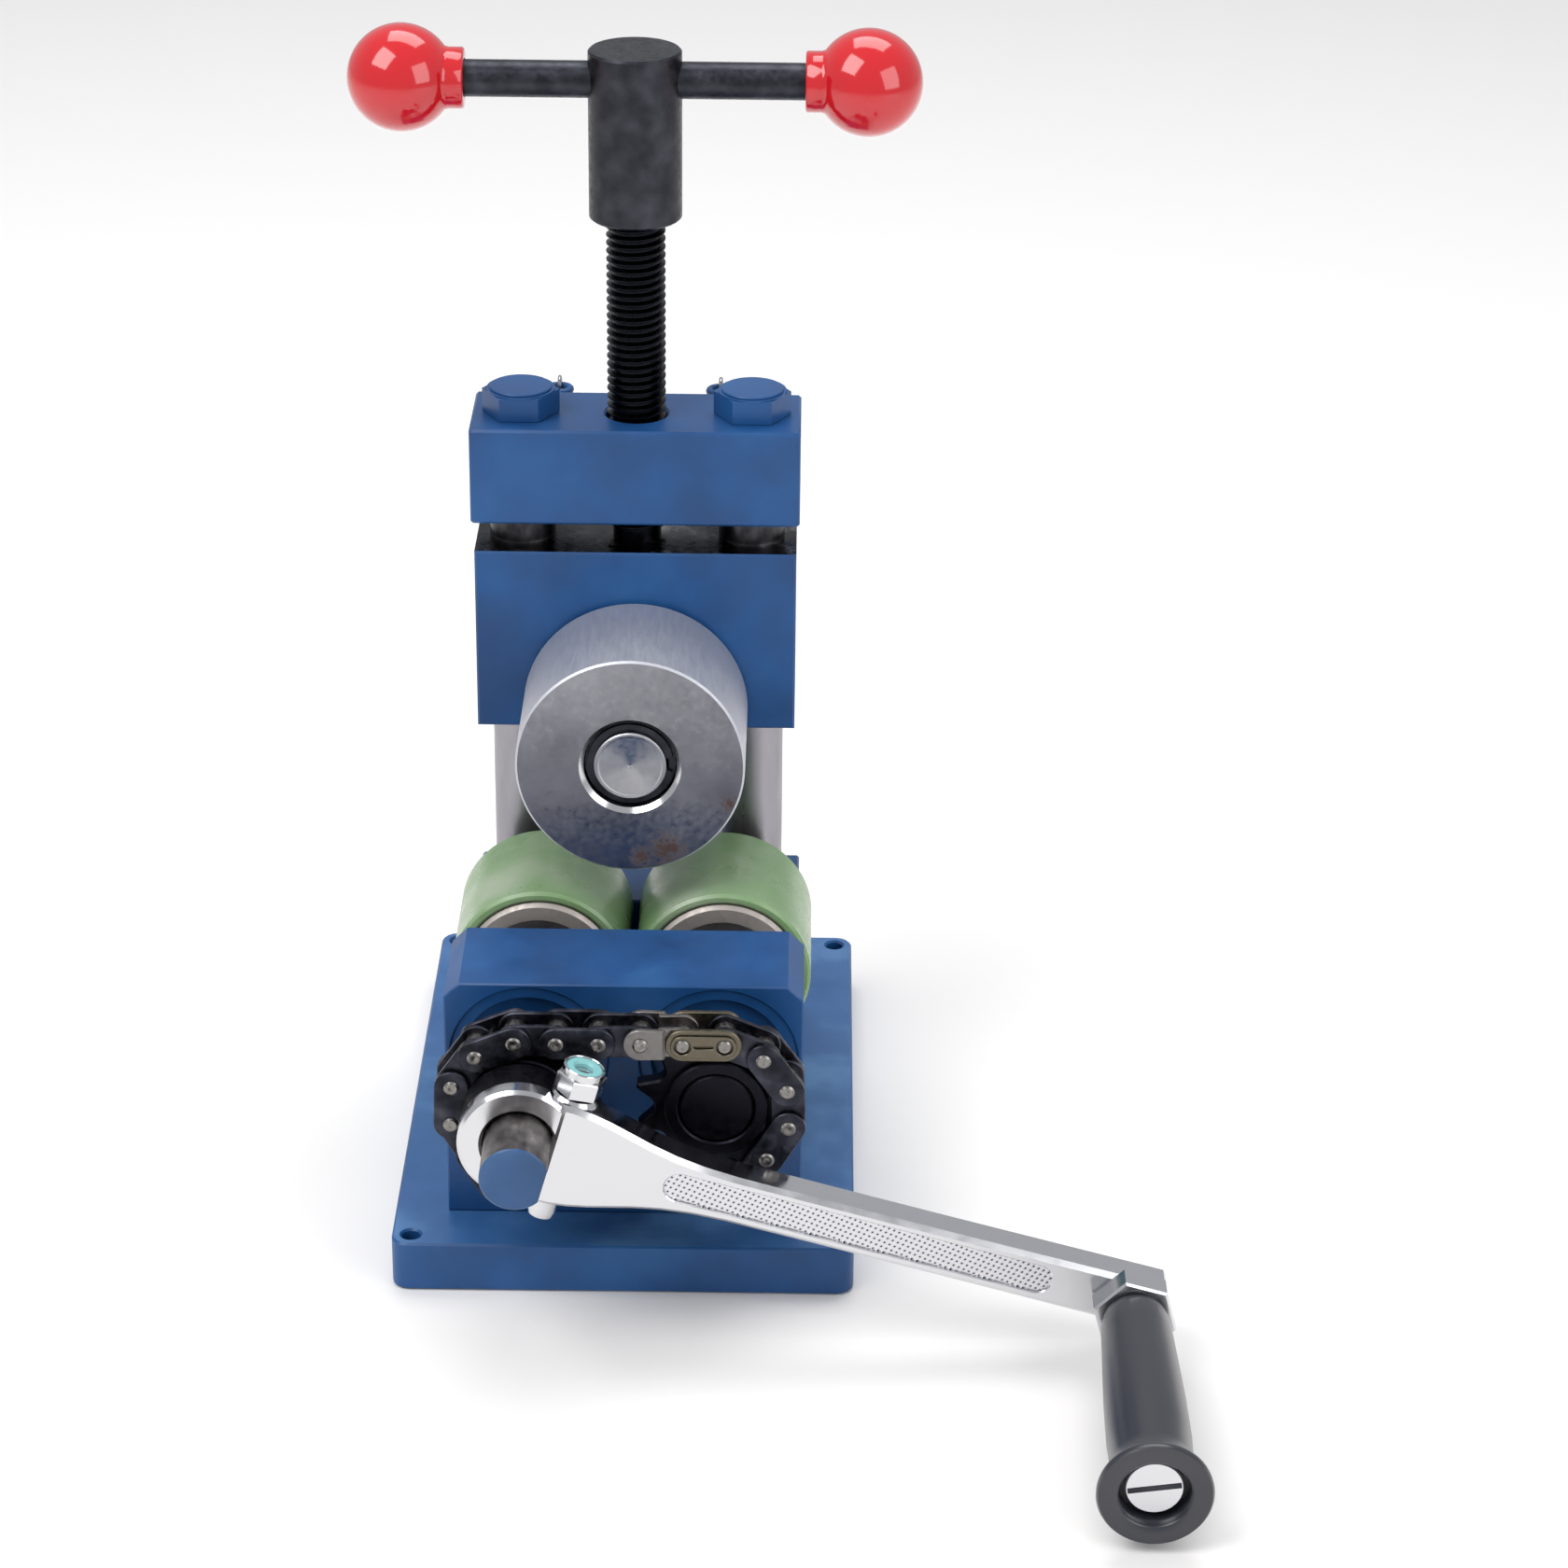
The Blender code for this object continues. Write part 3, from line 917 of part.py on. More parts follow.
# Eye screws behind the blocks, and the two return springs that pull the slide block up
rear_face = REAR_Y + REAR_DEPTH
for side, x in (("left", -SPRING_X), ("right", SPRING_X)):
    for level, z, target in (("upper", UPPER_EYE_Z, top), ("lower", LOWER_EYE_Z, slide)):
        spot = (x, rear_face + EYE_OUT, z)
        ring_profile = [(EYE_MAJOR + EYE_WIRE * math.cos(math.radians(a)),
                         EYE_WIRE * math.sin(math.radians(a)))
                        for a in range(90, -270, -60)]
        ring = lathe(f"{side}_{level}_spring_eye", ring_profile, SIDES_SMALL, spot, UPRIGHT,
                     BLUE if level == "upper" else STEEL,
                     True)
        combine(ring,
                rod(f"{side}_{level}_shank_add", EYE_WIRE, -EYE_OUT - EYE_SHANK, -EYE_MAJOR, SIDES_PIN, spot,
                    ALONG_Y,
                          STEEL, False), "UNION")
        hole(target, f"{side}_{level}_eye_cut", EYE_WIRE + GAP / 2, -EYE_OUT - EYE_SHANK - GAP,
             CUT_OVER - EYE_OUT, SIDES_PIN, spot,
             ALONG_Y)
    axis_y = rear_face + EYE_OUT + EYE_MAJOR
    curve = bpy.data.curves.new(f"{side}_return_spring", "CURVE")
    curve.dimensions = "3D"
    curve.bevel_depth = SPRING_WIRE
    curve.bevel_resolution = 1
    curve.use_fill_caps = True
    curve.resolution_u = 1
    start_z = UPPER_EYE_Z - HOOK_RADIUS
    end_z = LOWER_EYE_Z + HOOK_RADIUS
    upper_hook = [(0.0, -HOOK_RADIUS * math.sin(a), UPPER_EYE_Z - HOOK_RADIUS * math.cos(a))
                  for a in [HOOK_START - HOOK_STEP * i for i in range(HOOK_STEPS)]]
    lower_hook = [(0.0, y, UPPER_EYE_Z + LOWER_EYE_Z - z) for _, y, z in upper_hook]
    coil_high = start_z - SPRING_LEAD
    coil_low = end_z + SPRING_LEAD
    count = SPRING_CURLS * SPRING_CURL_POINTS
    coil = []
    for i in range(count + 1):
        turn_angle = 2 * math.pi * i / SPRING_CURL_POINTS
        coil.append((SPRING_RADIUS * math.sin(turn_angle), SPRING_RADIUS * math.cos(turn_angle),
                     coil_high + (coil_low - coil_high) * i / count))
    path = upper_hook + coil + lower_hook[::-1]
    spline = curve.splines.new("POLY")
    spline.points.add(len(path) - 1)
    for point, (dx, dy, z) in zip(spline.points, path):
        point.co = (dx, dy, z, 1.0)
    if side == "left":
        curls = [p for p in coil]
        least = min(math.dist(p, q) for i,
                    p in enumerate(curls) for q in curls[i + SPRING_CURL_POINTS // 2:]) - 2 * SPRING_WIRE
        print("spring's least gap to itself, mm:", round(least * 1000, 2))
    link(bpy.data.objects.new(f"{side}_return_spring", curve), SPRING_STEEL, (x, axis_y, 0.0), UPRIGHT)
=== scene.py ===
import math

import bmesh
import bpy
from mathutils import Matrix, Vector


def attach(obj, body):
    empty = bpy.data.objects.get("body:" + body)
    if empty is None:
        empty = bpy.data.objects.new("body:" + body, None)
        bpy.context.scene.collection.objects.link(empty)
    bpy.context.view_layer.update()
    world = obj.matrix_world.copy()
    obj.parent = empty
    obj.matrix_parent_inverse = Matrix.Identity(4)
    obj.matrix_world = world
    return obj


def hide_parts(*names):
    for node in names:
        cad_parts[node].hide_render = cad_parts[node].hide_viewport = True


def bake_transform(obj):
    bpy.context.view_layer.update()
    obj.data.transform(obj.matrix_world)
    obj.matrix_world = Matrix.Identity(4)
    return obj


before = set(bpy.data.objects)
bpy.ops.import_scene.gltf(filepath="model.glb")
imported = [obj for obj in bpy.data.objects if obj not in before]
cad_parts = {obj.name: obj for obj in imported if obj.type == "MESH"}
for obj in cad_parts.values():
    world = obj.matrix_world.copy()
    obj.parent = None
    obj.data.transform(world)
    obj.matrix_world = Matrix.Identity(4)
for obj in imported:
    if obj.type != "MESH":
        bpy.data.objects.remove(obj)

bl_info = {
    "name": "Ring bending machine",
    "version": (1, 0, 0),
    "blender": (4, 5, 0),
    "location": "View3D > Sidebar > Ring bender",
    "description": "Builds the finished pieces of a hand cranked ring bending machine and its plain stage",
    "category": "Add Mesh",
}

MM = 0.001
FULL_TURN = 2.0 * math.pi
QUARTER_TURN = math.pi / 2.0

# Driving sizes in millimetres; Y counts from the base plate's front edge
BASE_WIDTH = 108.0
BASE_DEPTH = 158.0
BASE_THICK = 12.4
BLOCK_FRONT = 15.2
AXIS_Z = 53.5
CENTRES = 44.0
PITCH = 9.525
TEETH = 11
LINKS = 21
RUN_LEAN = math.radians(6.0)
CHAIN_Y = -3.4
CRANK_LENGTH = 144.5
CRANK_ANGLE = math.radians(-15.6)
REAR_Y = 94.3
REAR_DEPTH = 27.0
ROLLER_FRONT = 58.4
ROLLER_REAR = 93.3
UPPER_Z = 108.2
UPPER_RADIUS = 27.1
COLUMN_X = 27.6
BAR_Z = 260.2
SHAFT_RADIUS = 8.5
SHAFT_BORE = 8.8
SEAT_RADIUS = 18.4
EYE_UPPER_Z = 176.8
EYE_LOWER_Z = 131.0

# Small gaps and breaks in millimetres
SEAM = 0.1
MERGE = 0.0005
FINE_BREAK = 0.2
SMALL_BREAK = 0.3
EDGE_BREAK = 0.5

# Places that follow from them
SHIFT_Y = -BASE_DEPTH / 2.0
BLOCK_FOOT = BASE_THICK + SEAM
REAR_MID = REAR_Y + REAR_DEPTH / 2.0
REAR_FACE = REAR_Y + REAR_DEPTH
LEFT = -CENTRES / 2.0
RIGHT = CENTRES / 2.0
PIN_CIRCLE = PITCH / (2.0 * math.sin(math.pi / TEETH))
STEP_ANGLE = FULL_TURN / TEETH
TOP_RUN_SPARE = (5.0 * PITCH - CENTRES) / 2.0

# Sides of the round shapes
ROLLER_SIDES = 144
SLEEVE_SIDES = 128
SHAFT_SIDES = 96
HUB_SIDES = 72
RING_SIDES = 64
ROD_SIDES = 48
BOLT_SIDES = 32
HOLE_SIDES = 24
PIN_SIDES = 20

# Turns from a piece's own axes to the row frame's
ALONG_Z = Matrix.Identity(4)
ALONG_Y = Matrix.Rotation(-QUARTER_TURN, 4, "X")
ALONG_X = Matrix.Rotation(QUARTER_TURN, 4, "Y")
ALONG_BACK_X = Matrix.Rotation(-QUARTER_TURN, 4, "Y")
FACE_FRONT = Matrix.Rotation(QUARTER_TURN, 4, "X")
CRANK_TURN = Matrix.Rotation(-CRANK_ANGLE, 4, "Y")
CRANK_TURN_LOCAL = ALONG_Y.inverted() @ CRANK_TURN @ FACE_FRONT


def place(x, y, z, turn=ALONG_Z):
    """A transform from a piece's own millimetres to the row frame's metres."""
    return Matrix.Scale(MM, 4) @ Matrix.Translation((x, y + SHIFT_Y, z)) @ turn


def polar(radius, angle, centre=(0.0, 0.0)):
    """A point at a radius and an angle about a centre."""
    return centre[0] + radius * math.cos(angle), centre[1] + radius * math.sin(angle)


def linear(code):
    """A linear colour from an sRGB hex code, by the standard curve."""
    parts = [int(code[i:i + 2], 16) / 255.0 for i in (1, 3, 5)]
    return [c / 12.92 if c <= 0.04045 else ((c + 0.055) / 1.055) ** 2.4 for c in parts] + [1.0]


# What a user can change

def length_choice(name, millimetres, description):
    return bpy.props.FloatProperty(name=name, description=description, default=millimetres * MM, min=0.0,
                                   precision=4, unit="LENGTH")


def colour_choice(name, code, description):
    return bpy.props.FloatVectorProperty(name=name, description=description, default=linear(code)[:3],
                                         min=0.0, max=1.0, size=3, subtype="COLOR")


class RingBenderSizes(bpy.types.PropertyGroup):
    """Sizes that can be changed without the rest of the machine."""
    thread_pitch: length_choice("Thread pitch", 2.0, "Rise of the press screw's thread in one turn")
    knob_radius: length_choice("Knob radius", 12.5, "Radius of the tommy bar's ball knobs")
    grip_length: length_choice("Grip length", 69.0, "Length of the crank's turning grip")
    knurl_spacing: length_choice("Knurl spacing", 1.25, "Distance between the lines of the panel's knurl")
    spring_wire: length_choice("Spring wire", 0.5, "Radius of the return springs' wire")
    spring_radius: length_choice("Spring radius", 3.2, "Radius of the return springs' coils")
    spring_coils: bpy.props.IntProperty(name="Spring coils", description="Turns in each return spring",
                                        default=8, min=1)


class RingBenderColours(bpy.types.PropertyGroup):
    """Colours of the painted, cast and moulded pieces."""
    enamel: colour_choice("Enamel", "#194a80", "Main blue of the sprayed enamel")
    enamel_light: colour_choice("Enamel, light", "#20558c", "Palest blue of the enamel's mottling")
    enamel_dark: colour_choice("Enamel, dark", "#164172", "Darkest blue of the enamel's mottling")
    urethane: colour_choice("Urethane", "#829e75", "Main green of the lower rollers")
    urethane_light: colour_choice("Urethane, light", "#9dad92", "Palest green of the lower rollers")
    urethane_dark: colour_choice("Urethane, dark", "#6f9260", "Darkest green of the lower rollers")
    knob: colour_choice("Knobs", "#c4141e", "Colour of the moulded ball knobs")
    grip: colour_choice("Grip", "#2a2b33", "Colour of the moulded crank grip")


class RingBenderSettings(bpy.types.PropertyGroup):
    """The machine's settings in the sidebar."""
    sizes: bpy.props.PointerProperty(type=RingBenderSizes, name="Sizes", description="Sizes of the pieces")
    colours: bpy.props.PointerProperty(type=RingBenderColours, name="Colours",
                                        description="Colours of the finishes")
    show_stage: bpy.props.BoolProperty(name="Stage", default=True,
                                      description="Build the floor, lamps and camera")


def size(name):
    """A size from the settings in millimetres, free of single precision's last digits."""
    return round(getattr(bpy.context.scene.ring_bender.sizes, name) / MM, 4)


def colour(key):
    """Linear values of a hex code, or of one of the settings' colours by its name."""
    if key.startswith("#"):
        return linear(key)
    return [*getattr(bpy.context.scene.ring_bender.colours, key), 1.0]


# Materials

# Most of a noise lies between these values
NOISE_LOW = 0.3
NOISE_HIGH = 0.7
# A wave texture of scale 1 repeats after this length
WAVE_PERIOD = 0.314
LEAST_ROUGHNESS = 0.03
MATERIALS = {}


def shader_of(material):
    return material.node_tree.nodes["Principled BSDF"]


def set_values(node, values):
    for socket, value in values.items():
        node.inputs[socket].default_value = value


def add_node(material, kind, values=None, links=None, stops=(), **settings):
    """Adds a node with its settings, its sockets' values, its links and, on a colour ramp, its stops."""
    tree = material.node_tree
    node = tree.nodes.new(kind)
    for name, setting in settings.items():
        setattr(node, name, setting)
    set_values(node, values or {})
    for socket, output in (links or {}).items():
        tree.links.new(output, node.inputs[socket])
    if stops:
        elements = node.color_ramp.elements
        while len(elements) < len(stops):
            elements.new(0.5)
        for element, (position, key) in zip(elements, stops):
            element.position = position
            element.color = colour(key)
    return node


def feed(material, socket, output):
    """Links an output to a socket of the material's shader."""
    material.node_tree.links.new(output, shader_of(material).inputs[socket])


def new_material(name, key, metallic, roughness):
    material = bpy.data.materials.new(name)
    material.use_nodes = True
    set_values(shader_of(material), {"Base Color": colour(key), "Metallic": metallic, "Roughness": roughness})
    material.diffuse_color = colour(key)
    return material


def patches(material, size_mm, detail=3.0, stretch=(1.0, 1.0, 1.0)):
    """Noise on the piece's own coordinates, with features about size_mm across and drawn out by stretch."""
    where = add_node(material, "ShaderNodeTexCoord")
    mapping = add_node(material, "ShaderNodeMapping", {"Scale": [1.0 / s for s in stretch]},
                       {"Vector": where.outputs["Object"]})
    return add_node(material, "ShaderNodeTexNoise", {"Scale": 1.0 / (size_mm * MM), "Detail": detail},
                    {"Vector": mapping.outputs["Vector"]})


def tint(material, texture, stops):
    """Paints the base colour from a texture."""
    made = add_node(material, "ShaderNodeValToRGB", None, {"Fac": texture.outputs["Fac"]}, stops)
    feed(material, "Base Color", made.outputs["Color"])
    return made


def gloss(material, texture, low, high):
    """Varies the roughness between low and high."""
    spread = add_node(material, "ShaderNodeMapRange",
                      {"From Min": NOISE_LOW, "From Max": NOISE_HIGH, "To Min": low, "To Max": high},
                      {"Value": texture.outputs["Fac"]})
    feed(material, "Roughness", spread.outputs["Result"])


def relief(material, height, strength, depth_mm, sunk=False):
    """Raises or sinks the surface by an output, to the given depth."""
    bump = add_node(material, "ShaderNodeBump", {"Strength": strength, "Distance": depth_mm * MM},
                    {"Height": height}, invert=sunk)
    feed(material, "Normal", bump.outputs["Normal"])


def enamel(name, key, light, dark):
    """Sprayed enamel over machined steel: a satin coat with soft mottling and fine orange peel."""
    material = new_material(name, key, 0.0, 0.40)
    set_values(shader_of(material), {"Specular IOR Level": 0.35, "Coat Weight": 0.08, "Coat Roughness": 0.18})
    tint(material, patches(material, 24.0, 4.0), ((0.35, dark), (0.52, key), (0.70, light)))
    gloss(material, patches(material, 12.0), 0.34, 0.48)
    relief(material, patches(material, 0.9, 2.0).outputs["Fac"], 0.15, 0.03)
    return material


def metal(name, key, roughness, size_mm=3.0, marks=0.1, depth_mm=0.02, stretch=(1.0, 1.0, 1.0), stops=None):
    """Bare, plated or blackened metal; its marks are about size_mm across and change the gloss by marks."""
    material = new_material(name, key, 1.0, roughness)
    texture = patches(material, size_mm, 4.0, stretch)
    if stops:
        tint(material, patches(material, size_mm * 4.0, 6.0), stops)
    gloss(material, texture, max(roughness - marks, LEAST_ROUGHNESS), roughness + marks)
    relief(material, texture.outputs["Fac"], 0.12, depth_mm)
    return material


def lathe_sheen(material, amount, spacing_mm=None):
    """A turned surface's stretched highlight; a spacing adds fine rings about the upper roller's axis."""
    tangent = add_node(material, "ShaderNodeTangent", direction_type="RADIAL", axis="Y")
    set_values(shader_of(material), {"Anisotropic": amount})
    feed(material, "Tangent", tangent.outputs["Tangent"])
    if spacing_mm is None:
        return
    where = add_node(material, "ShaderNodeTexCoord")
    mapping = add_node(material, "ShaderNodeMapping", {"Location": (0.0, 0.0, -UPPER_Z * MM)},
                       {"Vector": where.outputs["Object"]})
    rings = add_node(material, "ShaderNodeTexWave",
                     {"Scale": WAVE_PERIOD / (spacing_mm * MM), "Distortion": 1.5},
                     {"Vector": mapping.outputs["Vector"]}, wave_type="RINGS", rings_direction="Y")
    relief(material, rings.outputs["Fac"], 0.10, 0.02)


def grease_and_shade_above(material, from_mm, to_mm, key):
    """Painted shade with grease streaks above a height, as on the columns in the gap under the top block."""
    where = add_node(material, "ShaderNodeTexCoord")
    height = add_node(material, "ShaderNodeSeparateXYZ", None, {"Vector": where.outputs["Object"]})
    fade = add_node(material, "ShaderNodeMapRange", {"From Min": from_mm * MM, "From Max": to_mm * MM},
                    {"Value": height.outputs["Z"]})
    smears = patches(material, 3.0, 4.0, (1.0, 1.0, 2.0))
    depth = add_node(material, "ShaderNodeMath", {1: 0.6, 2: 0.55}, {0: smears.outputs["Fac"]},
                     operation="MULTIPLY_ADD")
    share = add_node(material, "ShaderNodeMath", None, {0: fade.outputs["Result"], 1: depth.outputs["Value"]},
                     operation="MULTIPLY")
    plain = shader_of(material).inputs["Base Color"].default_value
    mix = add_node(material, "ShaderNodeMix", {"A": plain, "B": colour(key)},
                   {"Factor": share.outputs["Value"]}, data_type="RGBA")
    feed(material, "Base Color", mix.outputs["Result"])


def rusted_face():
    """The upper roller's turned steel face: grey, with specks of brown rust gathered in three places."""
    material = metal("roller_face_steel", "#8b8b92", 0.36, 1.6)
    broad = tint(material, patches(material, 14.0, 8.0),
                 ((0.30, "#75757c"), (0.50, "#85858c"), (0.72, "#94949b")))
    where = add_node(material, "ShaderNodeTexCoord")
    total = None
    for centre, radius in (((8.9, -20.3, 87.0), 9.5), ((23.2, -20.3, 99.0), 4.5), ((2.5, -20.3, 85.0), 5.5)):
        away = add_node(material, "ShaderNodeVectorMath", {1: [v * MM for v in centre]},
                        {0: where.outputs["Object"]}, operation="DISTANCE")
        fade = add_node(material, "ShaderNodeMapRange",
                        {"From Min": 0.0, "From Max": radius * MM, "To Min": 1.0, "To Max": 0.0},
                        {"Value": away.outputs["Value"]})
        if total is None:
            total = fade.outputs["Result"]
        else:
            total = add_node(material, "ShaderNodeMath", None, {0: total, 1: fade.outputs["Result"]},
                             operation="MAXIMUM").outputs["Value"]
    specks = patches(material, 1.1, 10.0)
    both = add_node(material, "ShaderNodeMath", None, {0: total, 1: specks.outputs["Fac"]},
                    operation="MULTIPLY")
    mask = add_node(material, "ShaderNodeValToRGB", None, {"Fac": both.outputs["Value"]},
                    ((0.20, "#000000"), (0.46, "#ffffff")))
    mix = add_node(material, "ShaderNodeMix", {"B": colour("#54413a")},
                   {"Factor": mask.outputs["Color"], "A": broad.outputs["Color"]}, data_type="RGBA")
    feed(material, "Base Color", mix.outputs["Result"])
    dull = add_node(material, "ShaderNodeMapRange", {"To Min": 1.0, "To Max": 0.15},
                    {"Value": mask.outputs["Color"]})
    feed(material, "Metallic", dull.outputs["Result"])
    return material


def knurled():
    """The panel's generic knurl in plated steel: crossed diagonal lines, with painted shade darkening the
    valleys.
    """
    material = new_material("knurled_plating", "#d9d9dc", 1.0, 0.25)
    where = add_node(material, "ShaderNodeTexCoord")
    waves = []
    for lean in (50.0, -50.0):
        mapping = add_node(material, "ShaderNodeMapping",
                           {"Rotation": (0.0, math.radians(lean) - CRANK_ANGLE, 0.0)},
                           {"Vector": where.outputs["Object"]})
        waves.append(add_node(material, "ShaderNodeTexWave",
                              {"Scale": WAVE_PERIOD / (size("knurl_spacing") * MM)},
                              {"Vector": mapping.outputs["Vector"]}, bands_direction="X"))
    cross = add_node(material, "ShaderNodeMath", None,
                     {0: waves[0].outputs["Fac"], 1: waves[1].outputs["Fac"]}, operation="MULTIPLY")
    # The ramp's dark end is painted shade in the knurl's valleys
    made = add_node(material, "ShaderNodeValToRGB", None, {"Fac": cross.outputs["Value"]},
                    ((0.0, "#d6d6da"), (0.62, "#c4c4ca"), (0.80, "#3c3c42")))
    feed(material, "Base Color", made.outputs["Color"])
    relief(material, cross.outputs["Value"], 0.6, 0.15, True)
    return material


def urethane():
    """Cast urethane: a milky green that light enters a little, with cloudy patches and a soft shine."""
    material = new_material("green_urethane", "#7f9a70", 0.0, 0.30)
    tint(material, patches(material, 22.0),
         ((0.34, "urethane_dark"), (0.52, "urethane"), (0.70, "urethane_light")))
    set_values(shader_of(material), {"Subsurface Weight": 0.35, "Subsurface Scale": 4.0 * MM,
                                     "Subsurface Radius": (0.6, 1.0, 0.4)})
    gloss(material, patches(material, 9.0), 0.22, 0.40)
    return material


def plastic(name, key, roughness, coat=0.0, coat_roughness=LEAST_ROUGHNESS):
    """Moulded plastic; a coat adds the clear shine of a polished mould."""
    material = new_material(name, key, 0.0, roughness)
    set_values(shader_of(material), {"Coat Weight": coat, "Coat Roughness": coat_roughness})
    return material


def make_materials():
    MATERIALS.update({
        # Sprayed enamel: clean; a paler copy on the base's top faces, which is painted light from above; and
        # worn on the shaft's end
        "blue": enamel("blue_enamel", "enamel", "enamel_light", "enamel_dark"),
        "blue_lit_top": enamel("blue_enamel_painted_lit_top", "#3c689c", "#5783b4", "#2f5b90"),
        "blue_end": enamel("blue_shaft_end", "#2f5380", "#40648f", "#264870"),
        # Ground steel rod, with fine marks drawn out along it
        "column": metal("column_steel", "#98969c", 0.36, 2.2, stretch=(1.0, 1.0, 5.0)),
        # Turned steel: a rusted end face, a bright barrel with tool marks round it, and plain turned parts
        "face": rusted_face(),
        "roller": metal("roller_turned_steel", "#c4c5cc", 0.50, 0.9, 0.06, 0.01, (1.0, 8.0, 1.0)),
        "turned": metal("turned_steel", "#a3a3a8", 0.28, 0.8, stretch=(1.0, 4.0, 1.0)),
        "shaft_face": metal("shaft_face_steel", "#b0b0b4", 0.42, 1.2),
        # Machined steel inside the green rollers, warm from what it mirrors
        "core": metal("core_steel", "#b4aca6", 0.50, 1.5),
        # Handled steel with oily brown patches
        "dull_steel": metal("shaft_steel", "#6e6a6a", 0.42, 1.4, 0.12, 0.03, (1.0, 4.0, 1.0),
                            ((0.38, "#575353"), (0.52, "#716d6c"), (0.68, "#8a8683"))),
        # Nickel plating over forged steel, bright and slightly wavy
        "chrome": metal("bright_nickel", "#d2d2d5", 0.16, 5.0, 0.05, 0.03),
        "knurl": knurled(),
        # Black oxide, dry and cloudy, and the same under oil on the screw
        "black": metal("black_oxide", "#2a2b32", 0.40, 1.2, 0.12, 0.03,
                       stops=((0.36, "#33343a"), (0.55, "#3e3f45"), (0.74, "#494a51"))),
        "screw": metal("oiled_screw", "#1a1b20", 0.30, 1.0, 0.12),
        "sprocket": metal("sprocket_black", "#1e1e24", 0.40, 1.2, 0.12, 0.03),
        # Heat treated chain plates, their bright riveted pins, and the two links that differ
        "link": metal("chain_plate", "#3a3b44", 0.42, 1.3, 0.12, 0.03,
                      stops=((0.36, "#26272d"), (0.54, "#3b3c45"), (0.74, "#5c5d66"))),
        "pin": metal("chain_pin", "#85827f", 0.34, 0.8, 0.12, 0.03),
        "joint_link": metal("joining_link", "#676154", 0.38, 1.2),
        "offset": metal("offset_link", "#7a7775", 0.40, 1.2),
        # Drawn spring wire
        "spring": metal("spring_steel", "#9b9ca2", 0.28, 1.0, 0.06, 0.01),
        # Greased steel in the gap under the top block: painted shade makes it nearly black, and painted
        # glints make the bright spots
        "grease_gap_shade": metal("greased_steel_gap_shade", "#232226", 0.22, 2.5, 0.15, 0.15,
                        stops=((0.40, "#141317"), (0.56, "#2b2a2e"), (0.66, "#9c9a9c"))),
        "urethane": urethane(),
        # Moulded plastics: the nut's nylon insert, the grained grip and the polished knobs
        "nylon": plastic("nut_nylon", "#7fb9ba", 0.40),
        "grip": plastic("grip_plastic", "grip", 0.34, 0.3, 0.25),
        "red": plastic("knob_plastic", "knob", 0.12, 0.6),
    })
    set_values(shader_of(MATERIALS["core"]), {"Metallic": 0.6})
    set_values(shader_of(MATERIALS["roller"]), {"Metallic": 0.72})
    lathe_sheen(MATERIALS["face"], 0.55, 0.8)
    lathe_sheen(MATERIALS["shaft_face"], 0.75, 0.5)
    lathe_sheen(MATERIALS["roller"], 0.30)
    # The columns are darkened in the gap under the top block: painted shade, with grease streaks
    grease_and_shade_above(MATERIALS["column"], 146.5, 148.5, "#161518")
    relief(MATERIALS["grip"], patches(MATERIALS["grip"], 0.6, 2.0).outputs["Fac"], 0.25, 0.04)


def material_named(label):
    """A finish by its short name; the first call makes them all."""
    if not MATERIALS:
        make_materials()
    return MATERIALS[label]


# Shapes

# Edges sharper than this many degrees stay sharp; threads, the arm, its pin and moulded forms differ
SHARP_ANGLE = 32.0
THREAD_ANGLE = 28.0
PLATED_ANGLE = 35.0
PIN_ANGLE = 40.0
MOULDED_ANGLE = 50.0


def finish_piece(bm, name, transform, materials, body, nodes, sharp=SHARP_ANGLE):
    """Turns a bmesh into a finished piece on its body; materials are in the order of its faces' index."""
    bmesh.ops.remove_doubles(bm, verts=bm.verts, dist=MERGE)
    bmesh.ops.recalc_face_normals(bm, faces=bm.faces)
    bmesh.ops.transform(bm, matrix=transform, verts=bm.verts)
    mesh = bpy.data.meshes.new(name)
    bm.to_mesh(mesh)
    bm.free()
    mesh.shade_smooth()
    mesh.set_sharp_from_angle(angle=math.radians(sharp))
    for label in materials:
        mesh.materials.append(material_named(label))
    piece = bpy.data.objects.new(name, mesh)
    bpy.context.scene.collection.objects.link(piece)
    if body:
        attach(piece, body)
    if nodes:
        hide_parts(*nodes)
    return piece


def mark_new(bm, before, index):
    """Gives the faces made since before another material."""
    for face in set(bm.faces) - before:
        face.material_index = index


def mark_where(bm, test, index=1):
    """Gives the faces whose middle passes a test another material."""
    for face in bm.faces:
        if test(face.calc_center_median()):
            face.material_index = index


def add_turned(bm, profile, sides, transform=ALONG_Z, closed=False, index=0):
    """Spins a (radius, height) profile about the local Z."""
    verts = [bm.verts.new(transform @ Vector((radius, 0.0, height))) for radius, height in profile]
    edges = [bm.edges.new(pair) for pair in zip(verts, verts[1:])]
    if closed:
        edges.append(bm.edges.new((verts[-1], verts[0])))
    before = set(bm.faces)
    axis = (transform.to_3x3() @ Vector((0.0, 0.0, 1.0))).normalized()
    bmesh.ops.spin(bm, geom=verts + edges, cent=transform.translation, axis=axis, angle=FULL_TURN,
                   steps=sides, use_merge=True)
    mark_new(bm, before, index)


def turned(name, profile, sides, transform, material, body, nodes, closed=False, sharp=SHARP_ANGLE):
    bm = bmesh.new()
    add_turned(bm, profile, sides, ALONG_Z, closed)
    return finish_piece(bm, name, transform, [material], body, nodes, sharp)


